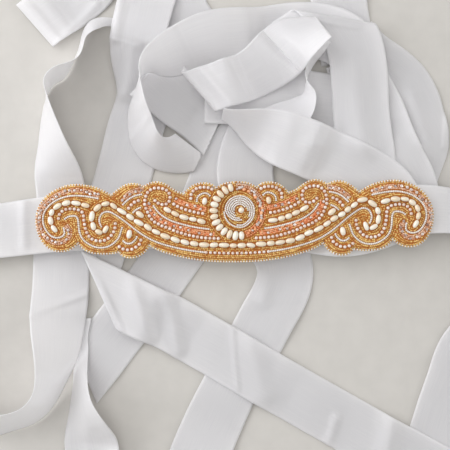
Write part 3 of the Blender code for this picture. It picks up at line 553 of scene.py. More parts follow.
def even_curve(points: list[Point] | np.ndarray, step: float) -> tuple[np.ndarray, np.ndarray, np.ndarray]:
    """Even samples of the smooth curve through points.

    Args:
        points: Plan points that the curve passes through.
        step: Distance between samples, rounded so that they fit the length.

    Returns:
        The samples, their distances along the curve, and the distances of the points given.
    """
    points = np.asarray(points, float)
    knots = distances(points)
    dense = natural_spline(knots, points, np.linspace(0.0, knots[-1], int(knots[-1] * 4) + 2))
    run = distances(dense)
    count = max(3, int(round(run[-1] / step)) + 1)
    places = np.linspace(0.0, run[-1], count)
    knot_places = np.interp(knots, np.linspace(0.0, knots[-1], len(run)), run)
    return points_at(dense, run, places), places, knot_places


def box_smooth(values: np.ndarray, reach: int) -> np.ndarray:
    """Running mean of values over reach samples on both sides, with the ends held."""
    if reach < 1:
        return values
    padded = np.pad(values, reach, mode="edge")
    sums = np.concatenate([[0.0], np.cumsum(padded)])
    size = 2 * reach + 1
    return (sums[size:] - sums[:-size]) / size


def spread_up(values: np.ndarray, reach: int) -> np.ndarray:
    """Running maximum of values over reach samples on both sides."""
    padded = np.pad(values, reach, mode="edge")
    return np.max([padded[shift:shift + len(values)] for shift in range(2 * reach + 1)], axis=0)


def unit(vectors: np.ndarray) -> np.ndarray:
    """Vectors of the last axis, each divided by its length."""
    return vectors / np.maximum(np.linalg.norm(vectors, axis=-1), 1e-12)[..., None]


def eased(share: np.ndarray) -> np.ndarray:
    """Share held between 0 and 1, and eased at both."""
    share = np.clip(share, 0.0, 1.0)
    return share ** 2 * (3.0 - 2.0 * share)


def left_of(turns: np.ndarray) -> np.ndarray:
    """Unit vectors to the left of headings in radians."""
    return np.column_stack([-np.sin(turns), np.cos(turns)])


def headings(ahead: np.ndarray) -> np.ndarray:
    """Headings of vectors, in radians."""
    return np.arctan2(ahead[:, 1], ahead[:, 0])


def round_point(middle: np.ndarray, radius: float, angle: float) -> np.ndarray:
    """Point of a circle at an angle in radians."""
    return middle + radius * np.array([math.cos(angle), math.sin(angle)])


class HeightMap:
    """Tops of everything laid so far, one layer for each stretch, on a square grid in plan."""

    def __init__(self) -> None:
        """Starts with nothing laid."""
        self.columns = int(2 * GRID_HALF_X / GRID_CELL)
        self.lines = int(2 * GRID_HALF_Y / GRID_CELL)
        self.layers: dict[str, np.ndarray] = {}

    def cells(self, x: np.ndarray, y: np.ndarray) -> tuple[np.ndarray, np.ndarray]:
        """Grid line and column under each plan place."""
        column = np.clip(((x + GRID_HALF_X) / GRID_CELL).astype(int), 1, self.columns - 2)
        line = np.clip(((y + GRID_HALF_Y) / GRID_CELL).astype(int), 1, self.lines - 2)
        return line, column

    def lay(self, name: str, x: np.ndarray, y: np.ndarray, z: np.ndarray) -> None:
        """Adds the tops of a stretch, widened by one cell all round."""
        layer = np.zeros((self.lines, self.columns))
        line, column = self.cells(x.ravel(), y.ravel())
        np.maximum.at(layer, (line, column), z.ravel())
        wide = layer.copy()
        for down in (-1, 0, 1):
            for across in (-1, 0, 1):
                wide = np.maximum(wide, np.roll(np.roll(layer, down, axis=0), across, axis=1))
        self.layers[name] = wide

    def top(self, x: np.ndarray, y: np.ndarray, seams: list[Seam]) -> np.ndarray:
        """Highest top under each place; a stretch joined at a seam doesn't count close to the seam."""
        line, column = self.cells(x, y)
        highest = np.zeros(x.shape)
        for name, layer in self.layers.items():
            heights = layer[line, column]
            for seam in seams:
                if name in (seam.first, seam.second):
                    near = np.hypot(x - seam.x, y - seam.y) < SEAM_ROOM * RIBBON_WIDTH
                    heights = np.where(near, 0.0, heights)
            highest = np.maximum(highest, heights)
        return highest


class Strip:
    """Form of one stretch: its centre line, lean, width and height, and the surface that they give."""

    def __init__(self, stretch: Stretch, ground: HeightMap) -> None:
        """Works the form out and rests it on what was laid before.

        Args:
            stretch: The stretch's sizes.
            ground: Tops of the stretches beneath it.
        """
        self.stretch = stretch
        self.line, self.places, knots = even_curve([(row.x, row.y) for row in stretch.rows], FINE_STEP)
        self.step = self.places[1]
        self.length = self.places[-1]
        reach = int(round(LEAN_EASE / self.step))
        lean = np.interp(self.places, knots, [row.lean for row in stretch.rows])
        width = np.interp(self.places, knots, [row.width for row in stretch.rows])
        self.lean = np.radians(box_smooth(lean, reach))
        self.width = box_smooth(width, reach)
        self.along = unit(np.gradient(self.line, axis=0))
        self.seams = [seam for seam in SEAMS if stretch.name in (seam.first, seam.second)]
        for seam in self.seams:
            self.square_end(seam)
        self.fold = stretch.fold
        self.skew = np.zeros(len(self.places))
        self.before = 0.0
        self.start = self.line[0]
        if self.fold:
            self.set_fold()
        if stretch.end_slant:
            self.skew += stretch.end_slant * eased(1.0 - (self.length - self.places) / SLANT_RUN)
        self.base = np.full(len(self.places), WALL / 2)
        self.base = self.rest_on(ground)

    def square_end(self, seam: Seam) -> None:
        """Turns the sections near the end at a seam square to the seam's heading."""
        ahead = round_point(np.zeros(2), 1.0, math.radians(seam.heading))
        first, last = (np.hypot(*(self.line[end] - (seam.x, seam.y))) for end in (0, -1))
        away = self.length - self.places if last < first else self.places
        if ahead @ self.along[np.argmin(away)] < 0.0:
            ahead = -ahead
        ease = eased(1.0 - away / SQUARE_RUN)[:, None]
        self.along = unit(self.along * (1.0 - ease) + ahead * ease)

    def set_fold(self) -> None:
        """Works out the crease's direction and the slant of the sections beside it."""
        crease = round_point(np.zeros(2), 1.0, math.radians(self.fold.crease))
        ahead = self.along[0]
        left = np.array([-ahead[1], ahead[0]])
        if crease @ left < 0:
            crease = -crease
        inward = np.array([crease[1], -crease[0]])
        self.inward = inward if inward @ ahead > 0 else -inward
        slant = 0.5 * RIBBON_WIDTH * (crease @ ahead) / (crease @ left)
        self.skew = slant * eased(1.0 - self.places / (abs(slant) * 2.2 + FOLD_RUN))
        self.before = (self.fold.hidden + math.pi * self.fold.radius) / (self.inward @ ahead)
        self.zone = abs(slant) + self.fold.hidden

    def read(self, values: np.ndarray, place: np.ndarray) -> np.ndarray:
        """Values along the stretch at the distances given."""
        return np.interp(np.clip(place, 0.0, self.length), self.places, values)

    def surface(self, place: np.ndarray, across: np.ndarray) -> tuple[np.ndarray, np.ndarray]:
        """Middle of the wall at distances along and shares across.

        Args:
            place: Distances along the centre line.
            across: Shares from -1, the right edge, to 1, the left edge.

        Returns:
            The plan points and their heights.
        """
        place = np.asarray(place, float)
        across = np.asarray(across, float)
        outside = place - np.clip(place, 0.0, self.length)
        tangent = unit(np.stack([self.read(self.along[:, axis], place) for axis in range(2)], axis=-1))
        centre = np.stack([self.read(self.line[:, axis], place) for axis in range(2)], axis=-1)
        centre = centre + outside[..., None] * tangent
        lean = self.read(self.lean, place)
        half = 0.5 * self.read(self.width, place)
        side = np.stack([-tangent[..., 1], tangent[..., 0]], axis=-1)
        plan = centre + (across * half * np.cos(lean))[..., None] * side
        rise = half * np.sqrt(np.sin(lean) ** 2 + FLAT_LEAN ** 2)
        height = self.read(self.base, place) + rise - half * FLAT_LEAN
        height = height + across * half * np.sin(lean)
        if not self.fold:
            return plan, height
        beyond = -((plan - self.start) @ self.inward)
        radius = self.fold.radius
        angle = np.clip(beyond / radius, 0.0, math.pi)
        back = -radius * np.sin(angle) + np.maximum(beyond - math.pi * radius, 0.0)
        new = np.where(beyond <= 0.0, -beyond, back)
        plan = plan + (new + beyond)[..., None] * self.inward
        return plan, height - radius * (1.0 - np.cos(angle))

    def sheet(self, step: float, spacing: float) -> tuple[np.ndarray, np.ndarray, np.ndarray]:
        """Even sample of the whole surface: distances along, plan points and heights."""
        places = np.arange(-self.before, self.length + 0.5 * step, step)
        shares = np.linspace(-1.0, 1.0, int(RIBBON_WIDTH / spacing) + 1)
        along, across = np.meshgrid(places, shares, indexing="ij")
        plan, height = self.surface(along + across * self.read(self.skew, along), across)
        return places, plan, height

    def rest_on(self, ground: HeightMap) -> np.ndarray:
        """Height of the lower edge along the stretch, so that it clears what lies beneath it."""
        places, plan, height = self.sheet(self.step, 1.0)
        below = ground.top(plan[..., 0], plan[..., 1], self.seams)
        low = height - WALL / 2
        room = np.where(below > 0.0, below + LAYER_GAP - low, -low)
        rough = WALL / 2 + np.maximum(room.max(axis=1), 0.0)
        if self.fold:
            zone = places < self.zone
            rough[zone] = rough[zone].max()
        need = np.interp(self.places, places, rough)
        if self.fold:
            need[self.places < self.zone] = rough[0]
        reach = int(round(EASE / self.step))
        need = spread_up(need, reach)
        for share in (reach // 2, reach // 3, reach - reach // 2 - reach // 3):
            need = box_smooth(need, share)
        return need

    def edges(self, places: np.ndarray) -> list[np.ndarray]:
        """Points of the left edge and of the right edge for the sections at the distances given."""
        skew = self.read(self.skew, places)
        points = []
        for share in (1.0, -1.0):
            plan, height = self.surface(places + share * skew, np.full(len(places), share))
            points.append(np.column_stack([plan, height]))
        return points

    def sections(self, run_step: float, turn_step: float) -> np.ndarray:
        """Distances of the sections of a fine mesh, closer where the ribbon turns, leans or folds.

        Args:
            run_step: Longest distance between sections.
            turn_step: Largest turn between sections, in degrees.

        Returns:
            The distances along the stretch.
        """
        fine = np.append(np.arange(-self.before, self.length - 0.25, 0.5), self.length)
        left, right = self.edges(fine)
        across = unit(left - right)
        ahead = unit(np.gradient(0.5 * (left + right), axis=0))
        effort = np.diff(fine) / run_step
        for vectors in (across, ahead):
            cosine = np.clip(np.sum(vectors[1:] * vectors[:-1], axis=1), -1.0, 1.0)
            effort = effort + np.degrees(np.arccos(cosine)) / turn_step
        effort = np.concatenate([[0.0], np.cumsum(effort)])
        count = int(math.ceil(effort[-1])) + 1
        return np.interp(np.linspace(0.0, effort[-1], count), effort, fine)


class ShaderTree:
    """Node tree of a material or of a shader group, with short ways to add and join nodes."""

    def __init__(self, tree: bpy.types.NodeTree) -> None:
        """Keeps the tree that nodes are added to."""
        self.tree = tree

    def node(self, kind: str, **values: object) -> bpy.types.Node:
        """Adds a node and sets its plain properties."""
        made = self.tree.nodes.new(kind)
        for key, value in values.items():
            setattr(made, key, value)
        return made

    def join(self, output: bpy.types.NodeSocket, socket: bpy.types.NodeSocket) -> None:
        """Joins an output to an input."""
        self.tree.links.new(output, socket)

    def feed(self, socket: bpy.types.NodeSocket, value: object) -> None:
        """Joins an output to an input, or sets the input where the value is a constant."""
        if isinstance(value, bpy.types.NodeSocket):
            self.join(value, socket)
        else:
            socket.default_value = value

    def maths(self, operation: str, first: object, second: object = 0.0) -> bpy.types.NodeSocket:
        """Adds a Math node whose inputs are sockets or numbers, and gives its output."""
        made = self.node("ShaderNodeMath", operation=operation)
        for socket, value in zip(made.inputs, (first, second)):
            self.feed(socket, value)
        return made.outputs[0]

    def mix(self, share: object, first: object, second: object) -> bpy.types.NodeSocket:
        """Adds a colour mix of two sockets or colours, and gives its output."""
        made = self.node("ShaderNodeMix", data_type="RGBA")
        for number, value in ((0, share), (6, first), (7, second)):
            self.feed(made.inputs[number], value)
        return made.outputs[2]

    def group(self, tree: bpy.types.NodeTree, **values: object) -> bpy.types.Node:
        """Places a shader group and feeds its inputs by their names."""
        made = self.node("ShaderNodeGroup", node_tree=tree)
        for key, value in values.items():
            self.feed(made.inputs[key], value)
        return made

    def bump(self, height: bpy.types.NodeSocket, strength: float, distance: float) -> bpy.types.NodeSocket:
        """Adds a bump from a height, with its distance in metres, and gives the normal."""
        made = self.node("ShaderNodeBump")
        made.inputs["Strength"].default_value = strength
        made.inputs["Distance"].default_value = distance
        self.join(height, made.inputs["Height"])
        return made.outputs["Normal"]


class Groups:
    """Shader node groups that more than one material uses, each built once."""

    def __init__(self) -> None:
        """Builds the groups."""
        self.grain = self.build_grain()
        self.tone = self.build_tone()

    @staticmethod
    def new_group(name: str, inputs: dict[str, tuple[str, object]], outputs: dict[str, str]) -> ShaderTree:
        """New group with its sockets and its input and output nodes.

        Args:
            name: Name of the group.
            inputs: Socket type and default value of each input.
            outputs: Socket type of each output.

        Returns:
            The group's tree.
        """
        tree = bpy.data.node_groups.new(name, "ShaderNodeTree")
        for label, (kind, value) in inputs.items():
            socket = tree.interface.new_socket(label, in_out="INPUT", socket_type=kind)
            if value is not None:
                socket.default_value = value
        for label, kind in outputs.items():
            tree.interface.new_socket(label, in_out="OUTPUT", socket_type=kind)
        tree.nodes.new("NodeGroupInput").name = "Inputs"
        tree.nodes.new("NodeGroupOutput").name = "Outputs"
        return ShaderTree(tree)

    @classmethod
    def build_grain(cls) -> bpy.types.NodeTree:
        """Fine uneven grain of cloth: a height and a mask from noise stretched along one way."""
        shader = cls.new_group(
            "fine_grain",
            {"Vector": ("NodeSocketVector", None), "Along": ("NodeSocketFloat", 20.0),
             "Across": ("NodeSocketFloat", 20.0)},
            {"Height": "NodeSocketFloat", "Mask": "NodeSocketFloat"})
        inputs, outputs = shader.tree.nodes["Inputs"], shader.tree.nodes["Outputs"]
        scale = shader.node("ShaderNodeCombineXYZ")
        scale.inputs["Z"].default_value = 1.0
        shader.join(inputs.outputs["Along"], scale.inputs["X"])
        shader.join(inputs.outputs["Across"], scale.inputs["Y"])
        place = shader.node("ShaderNodeVectorMath", operation="MULTIPLY")
        shader.join(inputs.outputs["Vector"], place.inputs[0])
        shader.join(scale.outputs[0], place.inputs[1])
        noise = shader.node("ShaderNodeTexNoise")
        noise.inputs["Scale"].default_value = 1.0
        noise.inputs["Detail"].default_value = 3.0
        shader.join(place.outputs[0], noise.inputs["Vector"])
        ramp = shader.node("ShaderNodeMapRange")
        ramp.inputs["From Min"].default_value = 0.35
        ramp.inputs["From Max"].default_value = 0.65
        shader.join(noise.outputs["Fac"], ramp.inputs["Value"])
        shader.join(noise.outputs["Fac"], outputs.inputs["Height"])
        shader.join(ramp.outputs[0], outputs.inputs["Mask"])
        return shader.tree

    @classmethod
    def build_tone(cls) -> bpy.types.NodeTree:
        """Change of colour from bead to bead: the bead's own tone, from 0 to 1, mixes two colours."""
        shader = cls.new_group(
            "bead_tone",
            {"Dark": ("NodeSocketColor", (0.2, 0.2, 0.2, 1.0)),
             "Light": ("NodeSocketColor", (0.8, 0.8, 0.8, 1.0))},
            {"Color": "NodeSocketColor", "Tone": "NodeSocketFloat"})
        inputs, outputs = shader.tree.nodes["Inputs"], shader.tree.nodes["Outputs"]
        tone = shader.node("ShaderNodeAttribute", attribute_name="tone")
        colour = shader.mix(tone.outputs["Fac"], inputs.outputs["Dark"], inputs.outputs["Light"])
        shader.join(colour, outputs.inputs["Color"])
        shader.join(tone.outputs["Fac"], outputs.inputs["Tone"])
        return shader.tree


def opaque(colour: Colour) -> tuple[float, float, float, float]:
    """Colour with full alpha."""
    return (*colour, 1.0)


def new_material(name: str) -> tuple[bpy.types.Material, ShaderTree, bpy.types.Node]:
    """New node material with its tree and its Principled BSDF."""
    material = bpy.data.materials.new(name)
    material.use_nodes = True
    return material, ShaderTree(material.node_tree), material.node_tree.nodes["Principled BSDF"]


@dataclass(frozen=True)
class SatinFinish:
    """Smooth satin of the ribbon, with a faint grain along it and a closer woven edge."""

    colour: Colour = (0.91, 0.90, 0.91)
    shade: Colour = (0.86, 0.85, 0.87)
    roughness: float = 0.42
    grain_along: float = 1.6
    grain_across: float = 150.0
    grain_height: float = 0.05
    grain_depth: float = 0.2
    selvedge: float = 0.028
    selvedge_shade: float = 0.5
    selvedge_roughness: float = 0.12
    sheen: float = 0.25
    sheen_roughness: float = 0.4
    anisotropic: float = 0.4
    subsurface: float = 0.5
    subsurface_radius: float = 4.0

    def material(self, groups: Groups) -> bpy.types.Material:
        """Builds the material.

        Args:
            groups: The shared shader groups.

        Returns:
            The satin material.
        """
        material, shader, surface = new_material("satin")
        place = shader.node("ShaderNodeUVMap", uv_map="ribbon")
        parts = shader.node("ShaderNodeSeparateXYZ")
        shader.join(place.outputs["UV"], parts.inputs[0])
        grain = shader.group(groups.grain, Vector=place.outputs["UV"], Along=self.grain_along,
                             Across=self.grain_across)
        from_middle = shader.maths("ABSOLUTE", shader.maths("SUBTRACT", parts.outputs["Y"], 0.5))
        edge = shader.maths("GREATER_THAN", from_middle, 0.5 - self.selvedge)
        tone = shader.mix(grain.outputs["Mask"], opaque(self.shade), opaque(self.colour))
        shaded = shader.maths("MULTIPLY", edge, self.selvedge_shade)
        shader.join(shader.mix(shaded, tone, opaque(self.shade)), surface.inputs["Base Color"])
        rougher = shader.maths("MULTIPLY", edge, self.selvedge_roughness)
        shader.join(shader.maths("ADD", rougher, self.roughness), surface.inputs["Roughness"])
        shader.join(shader.bump(grain.outputs["Height"], self.grain_height, self.grain_depth * MM),
                    surface.inputs["Normal"])
        surface.inputs["Sheen Weight"].default_value = self.sheen
        surface.inputs["Sheen Roughness"].default_value = self.sheen_roughness
        surface.inputs["Anisotropic"].default_value = self.anisotropic
        surface.inputs["Subsurface Weight"].default_value = self.subsurface
        surface.inputs["Subsurface Radius"].default_value = (self.subsurface_radius * MM,) * 3
        surface.inputs["Subsurface Scale"].default_value = 1.0
        return material


# Scale of the fine skin of the beads, for each metre, and how far it changes their roughness.
BEAD_GRAIN = 900.0
BEAD_UNEVEN = 0.12


@dataclass(frozen=True)
class BeadFinish:
    """Finish of one kind of bead: two colours that beads vary between, and how they shine."""

    name: str
    dark: Colour
    light: Colour
    roughness: float
    metallic: float = 0.0
    coat: float = 0.3
    transmission: float = 0.0
    glow: float = 0.0

    def material(self, groups: Groups) -> bpy.types.Material:
        """Builds the material, with each bead's own tone and a fine uneven skin."""
        material, shader, surface = new_material(self.name)
        tone = shader.group(groups.tone, Dark=opaque(self.dark), Light=opaque(self.light))
        shader.join(tone.outputs["Color"], surface.inputs["Base Color"])
        place = shader.node("ShaderNodeTexCoord")
        grain = shader.group(groups.grain, Vector=place.outputs["Object"], Along=BEAD_GRAIN,
                             Across=BEAD_GRAIN)
        uneven = shader.maths("MULTIPLY", grain.outputs["Mask"], BEAD_UNEVEN)
        shader.join(shader.maths("ADD", uneven, self.roughness), surface.inputs["Roughness"])
        surface.inputs["Metallic"].default_value = self.metallic
        surface.inputs["Coat Weight"].default_value = self.coat
        surface.inputs["Coat Roughness"].default_value = 0.08
        surface.inputs["Transmission Weight"].default_value = self.transmission
        surface.inputs["Subsurface Weight"].default_value = self.glow
        surface.inputs["Subsurface Radius"].default_value = (0.0012, 0.0009, 0.0006)
        return material


@dataclass(frozen=True)
class ClothFinish:
    """Matte finish of the felt backing, or of the thread ground between the beads, whose dark colours are
    partly painted shade of the gaps.
    """

    name: str
    dark: Colour
    light: Colour
    roughness: float
    grain: float
    height: float
    strength: float = 0.6
    sheen: float = 0.2

    def material(self, groups: Groups) -> bpy.types.Material:
        """Builds the material from the shared grain."""
        material, shader, surface = new_material(self.name)
        place = shader.node("ShaderNodeTexCoord")
        grain = shader.group(groups.grain, Vector=place.outputs["Object"], Along=self.grain,
                             Across=self.grain)
        shader.join(shader.mix(grain.outputs["Mask"], opaque(self.dark), opaque(self.light)),
                    surface.inputs["Base Color"])
        shader.join(shader.bump(grain.outputs["Height"], self.strength, self.height * MM),
                    surface.inputs["Normal"])
        surface.inputs["Roughness"].default_value = self.roughness
        surface.inputs["Sheen Weight"].default_value = self.sheen
        return material


def mesh_object(name: str, points: np.ndarray, faces: list[tuple[int, ...]],
                material: bpy.types.Material) -> bpy.types.Object:
    """Smooth mesh object from points in metres.

    Args:
        name: Name of the object and its mesh.
        points: One row for each vertex.
        faces: Vertex numbers of each face.
        material: Its material.

    Returns:
        The new object, in the scene.
    """
    mesh = bpy.data.meshes.new(name)
    mesh.from_pydata(points.tolist(), [], faces)
    mesh.materials.append(material)
    mesh.shade_smooth()
    thing = bpy.data.objects.new(name, mesh)
    bpy.context.scene.collection.objects.link(thing)
    return thing


@dataclass
class SatinRibbon:
    """The long ribbon, one thin sheet for each stretch that shows."""

    origin: Point
    thickness: float = 0.4
    run_step: float = 2.6
    turn_step: float = 2.6
    columns: int = 25
    lay_step: float = 0.8
    finish: SatinFinish = field(default_factory=SatinFinish)

    def lay(self) -> list[Strip]:
        """All stretches in their order, each resting on those before it."""
        ground = HeightMap()
        strips = []
        for stretch in STRETCHES:
            strip = Strip(stretch, ground)
            _, plan, height = strip.sheet(self.lay_step, self.lay_step)
            ground.lay(stretch.name, plan[..., 0], plan[..., 1], height + WALL / 2)
            strips.append(strip)
        return strips

    def grid(self, strip: Strip) -> tuple[np.ndarray, np.ndarray, np.ndarray]:
        """Fine grid of a stretch.

        Args:
            strip: Its form.

        Returns:
            The points, the distances along and the shares across.
        """
        places = strip.sections(self.run_step, self.turn_step)
        if strip.fold:
            places = places[places > TUCK.get(strip.stretch.name, 1.0) * -strip.before]
        if strip.seams:
            places = np.clip(places, SEAM_GAP / 2, strip.length - SEAM_GAP / 2)
        shares = np.linspace(1.0, -1.0, self.columns)
        along, across = np.meshgrid(places, shares, indexing="ij")
        plan, height = strip.surface(along + across * strip.read(strip.skew, along), across)
        points = self.soften(strip, np.concatenate([plan, height[..., None]], axis=-1), places)
        return self.crease(strip, points), places, shares

    @staticmethod
    def soften(strip: Strip, points: np.ndarray, places: np.ndarray) -> np.ndarray:
        """Evens the heights along the stretch, except where it folds and at its ends."""
        clear = np.minimum(places - strip.before, strip.length - places)
        if strip.fold:
            clear = np.minimum(clear, places - 1.5 * strip.zone)
        share = np.clip(clear / SOFT_RUN, 0.0, 1.0)
        moved = points.copy()
        for _ in range(EVENING.get(strip.stretch.name, EVEN_ROUNDS)):
            height = moved[..., 2]
            even = height.copy()
            even[1:-1] = 0.25 * height[:-2] + 0.5 * height[1:-1] + 0.25 * height[2:]
            moved[..., 2] = height + share[:, None] * (even - height)
        return moved

    @staticmethod
    def crease(strip: Strip, points: np.ndarray) -> np.ndarray:
        """Lifts the points by the ridges of this stretch and of those beneath it, and by a faint sway."""
        moved = points.copy()
        x, y = points[..., 0], points[..., 1]
        clear = np.maximum(np.abs(x) - FLAT_HALF_X, np.abs(y) - FLAT_HALF_Y)
        clear = np.clip(clear / FLAT_FADE, 0.0, 1.0)
        sway = sum(np.sin((x * math.cos(turn) + y * math.sin(turn)) * 2.0 * math.pi / wave + phase)
                   for wave, turn, phase in SWAY)
        moved[..., 2] += clear * SWAY_HEIGHT * (1.0 + sway / len(SWAY))
        for crease in CREASES:
            if ORDER[crease.stretch] > ORDER[strip.stretch.name]:
                continue
            start = np.array([crease.x0, crease.y0])
            run = np.array([crease.x1, crease.y1]) - start
            share = np.clip(((points[..., :2] - start) @ run) / (run @ run), 0.0, 1.0)
            off = np.linalg.norm(points[..., :2] - start - share[..., None] * run, axis=-1)
            moved[..., 2] += clear * crease.height * np.exp(-(off / crease.width) ** 2)
        return moved

    @staticmethod
    def cut(strip: Strip, thing: bpy.types.Object, places: np.ndarray, origin: Point) -> None:
        """Cuts the end of a stretch along its slanting lines."""
        cuts = [cut for cut in CUTS if cut.stretch == strip.stretch.name]
        if not cuts:
            return
        sheet = bmesh.new()
        sheet.from_mesh(thing.data)
        rows = np.repeat(places, len(sheet.verts) // len(places))
        sheet.verts.ensure_lookup_table()
        mark = sheet.verts.layers.float.new("place")
        for vert, place in zip(sheet.verts, rows):
            vert[mark] = place
        for cut in cuts:
            faces = [face for face in sheet.faces
                     if min(vert[mark] for vert in face.verts) > cut.share * strip.length]
            parts = dict.fromkeys(part for face in faces for part in (*face.verts, *face.edges))
            geometry = [*parts, *faces]
            start = Vector(((cut.x0 + origin[0]) * MM, (cut.y0 + origin[1]) * MM, 0.0))
            right = Vector((cut.y1 - cut.y0, cut.x0 - cut.x1, 0.0)).normalized()
            bmesh.ops.bisect_plane(sheet, geom=geometry, plane_co=start, plane_no=right, clear_outer=True)
        sheet.to_mesh(thing.data)
        sheet.free()

    def piece(self, strip: Strip, material: bpy.types.Material) -> bpy.types.Object:
        """Sheet of one stretch, cut at its slanting ends, with its wall, in place of its solid."""
        points, places, shares = self.grid(strip)
        rows, columns = points.shape[:2]
        first = np.arange(rows * columns).reshape(rows, columns)
        corners = (first[:-1, :-1], first[:-1, 1:], first[1:, 1:], first[1:, :-1])
        faces = np.stack(corners, axis=-1).reshape(-1, 4)
        name = strip.stretch.name.replace("ribbon", "satin")
        placed = (points.reshape(-1, 3) + (*self.origin, 0.0)) * MM
        thing = mesh_object(name, placed, faces.tolist(), material)
        layer = thing.data.uv_layers.new(name="ribbon")
        along = np.repeat(places / RIBBON_WIDTH, columns)
        across = np.tile(0.5 - 0.5 * shares, rows)
        layer.data.foreach_set("uv", np.stack([along, across], axis=-1)[faces.ravel()].ravel())
        self.cut(strip, thing, places, self.origin)
        wall = thing.modifiers.new("wall", "SOLIDIFY")
        wall.thickness = self.thickness * MM
        wall.offset = 0.0
        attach(thing, "root")
        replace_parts(thing, strip.stretch.name)
        return thing

    def build(self, groups: Groups) -> None:
        """Builds every stretch."""
        material = self.finish.material(groups)
        for strip in self.lay():
            piece = self.piece(strip, material)
            LOG.info("%s: %.0f mm of ribbon", piece.name, strip.length + strip.before)


@dataclass(frozen=True)
class BeadShape:
    """Bead turned about its own length, from a profile of places along it and shares of its radius."""

    profile: tuple[Point, ...]
    sides: int

    def template(self) -> tuple[np.ndarray, np.ndarray]:
        """Unit bead along +X, one long and one thick, of four-sided faces."""
        angles = 2.0 * math.pi * (np.arange(self.sides) + 0.5) / self.sides
        rings = [np.column_stack([np.full(self.sides, along), 0.5 * share * np.cos(angles),
                                  0.5 * share * np.sin(angles)]) for along, share in self.profile]
        faces = []
        for ring in range(len(rings) - 1):
            for side in range(self.sides):
                other = (side + 1) % self.sides
                low, high = ring * self.sides, (ring + 1) * self.sides
                faces.append((low + side, high + side, high + other, low + other))
        last = (len(rings) - 1) * self.sides
        for cap in range((self.sides - 2) // 2):
            corner = (cap, cap + 1, self.sides - 2 - cap, self.sides - 1 - cap)
            faces.append(corner)
            faces.append(tuple(last + index for index in reversed(corner)))
        return np.concatenate(rings), np.array(faces)


def round_profile(rings: int, tip: float, fullness: float = 1.0) -> tuple[Point, ...]:
    """Profile of a ball, or of a fuller bead, from tip to tip with small flat ends round the hole."""
    angles = np.linspace(-0.5 * math.pi + tip, 0.5 * math.pi - tip, rings)
    return tuple((0.5 * math.sin(angle), math.cos(angle) ** fullness) for angle in angles)


SEED_SHAPE = BeadShape(((-0.5, 0.5), (-0.3, 0.95), (0.3, 0.95), (0.5, 0.5)), 8)
LINE_SHAPE = BeadShape(((-0.5, 0.45), (-0.34, 0.88), (0.0, 1.0), (0.34, 0.88), (0.5, 0.45)), 8)
BALL_SHAPE = BeadShape(round_profile(7, 0.3), 10)
RICE_SHAPE = BeadShape(round_profile(11, 0.15, 0.75), 14)
CRYSTAL_SHAPE = BeadShape(((-0.5, 0.35), (-0.12, 1.0), (0.12, 1.0), (0.5, 0.35)), 8)


class BeadCloud:
    """Beads of one kind that are joined into one mesh."""

    def __init__(self, name: str, shape: BeadShape, slot: str, flat: bool = False) -> None:
        """Starts with no beads.

        Args:
            name: Name of the piece.
            shape: Form of its beads.
            slot: Name of a material slot, which is not used.
            flat: Whether the beads are cut with flat facets.
        """
        self.name = name
        self.shape = shape
        self.slot = slot
        self.flat = flat
        self.beads: list[tuple[float, ...]] = []

    def add(self, x: float, y: float, z: float, heading: float, size: Point, tone: float) -> None:
        """Adds a bead: its middle, heading in plan, length and width, and tone from 0 to 1."""
        self.beads.append((x, y, z, heading, size[0], size[1], tone))

    def build(self, origin: Point, material: bpy.types.Material) -> bpy.types.Object:
        """Joins the beads into one mesh that rides with the sash."""
        beads = np.array(self.beads)
        verts, faces = self.shape.template()
        local = verts[None] * np.stack([beads[:, 4], beads[:, 5], beads[:, 5]], axis=-1)[:, None]
        cosine, sine = np.cos(beads[:, 3])[:, None], np.sin(beads[:, 3])[:, None]
        points = np.stack([local[..., 0] * cosine - local[..., 1] * sine,
                           local[..., 0] * sine + local[..., 1] * cosine, local[..., 2]], axis=-1)
        points += beads[:, None, :3] + np.array((*origin, 0.0))
        numbers = faces[None] + (np.arange(len(beads)) * len(verts))[:, None, None]
        thing = mesh_object(self.name, points.reshape(-1, 3) * MM, numbers.reshape(-1, 4).tolist(), material)
        tone = thing.data.attributes.new("tone", "FLOAT", "POINT")
        tone.data.foreach_set("value", np.repeat(beads[:, 6], len(verts)).astype(np.float32))
        if self.flat:
            thing.data.shade_flat()
        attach(thing, "root")
        LOG.info("%s: %d beads", self.name, len(beads))
        return thing


def worked(points: np.ndarray) -> np.ndarray:
    """Plan places on the finished applique of drawn points of either half."""
    points = np.asarray(points, float)
    share = np.where(points[..., 0] > 0.0, SHARE_RIGHT, SHARE_LEFT)
    return np.stack([points[..., 0] * share, points[..., 1] * SHARE_DEEP], axis=-1)


def mirrored(points: tuple[Point, ...]) -> tuple[Point, ...]:
    """Points of the left half."""
    return tuple((-x, y) for x, y in points)


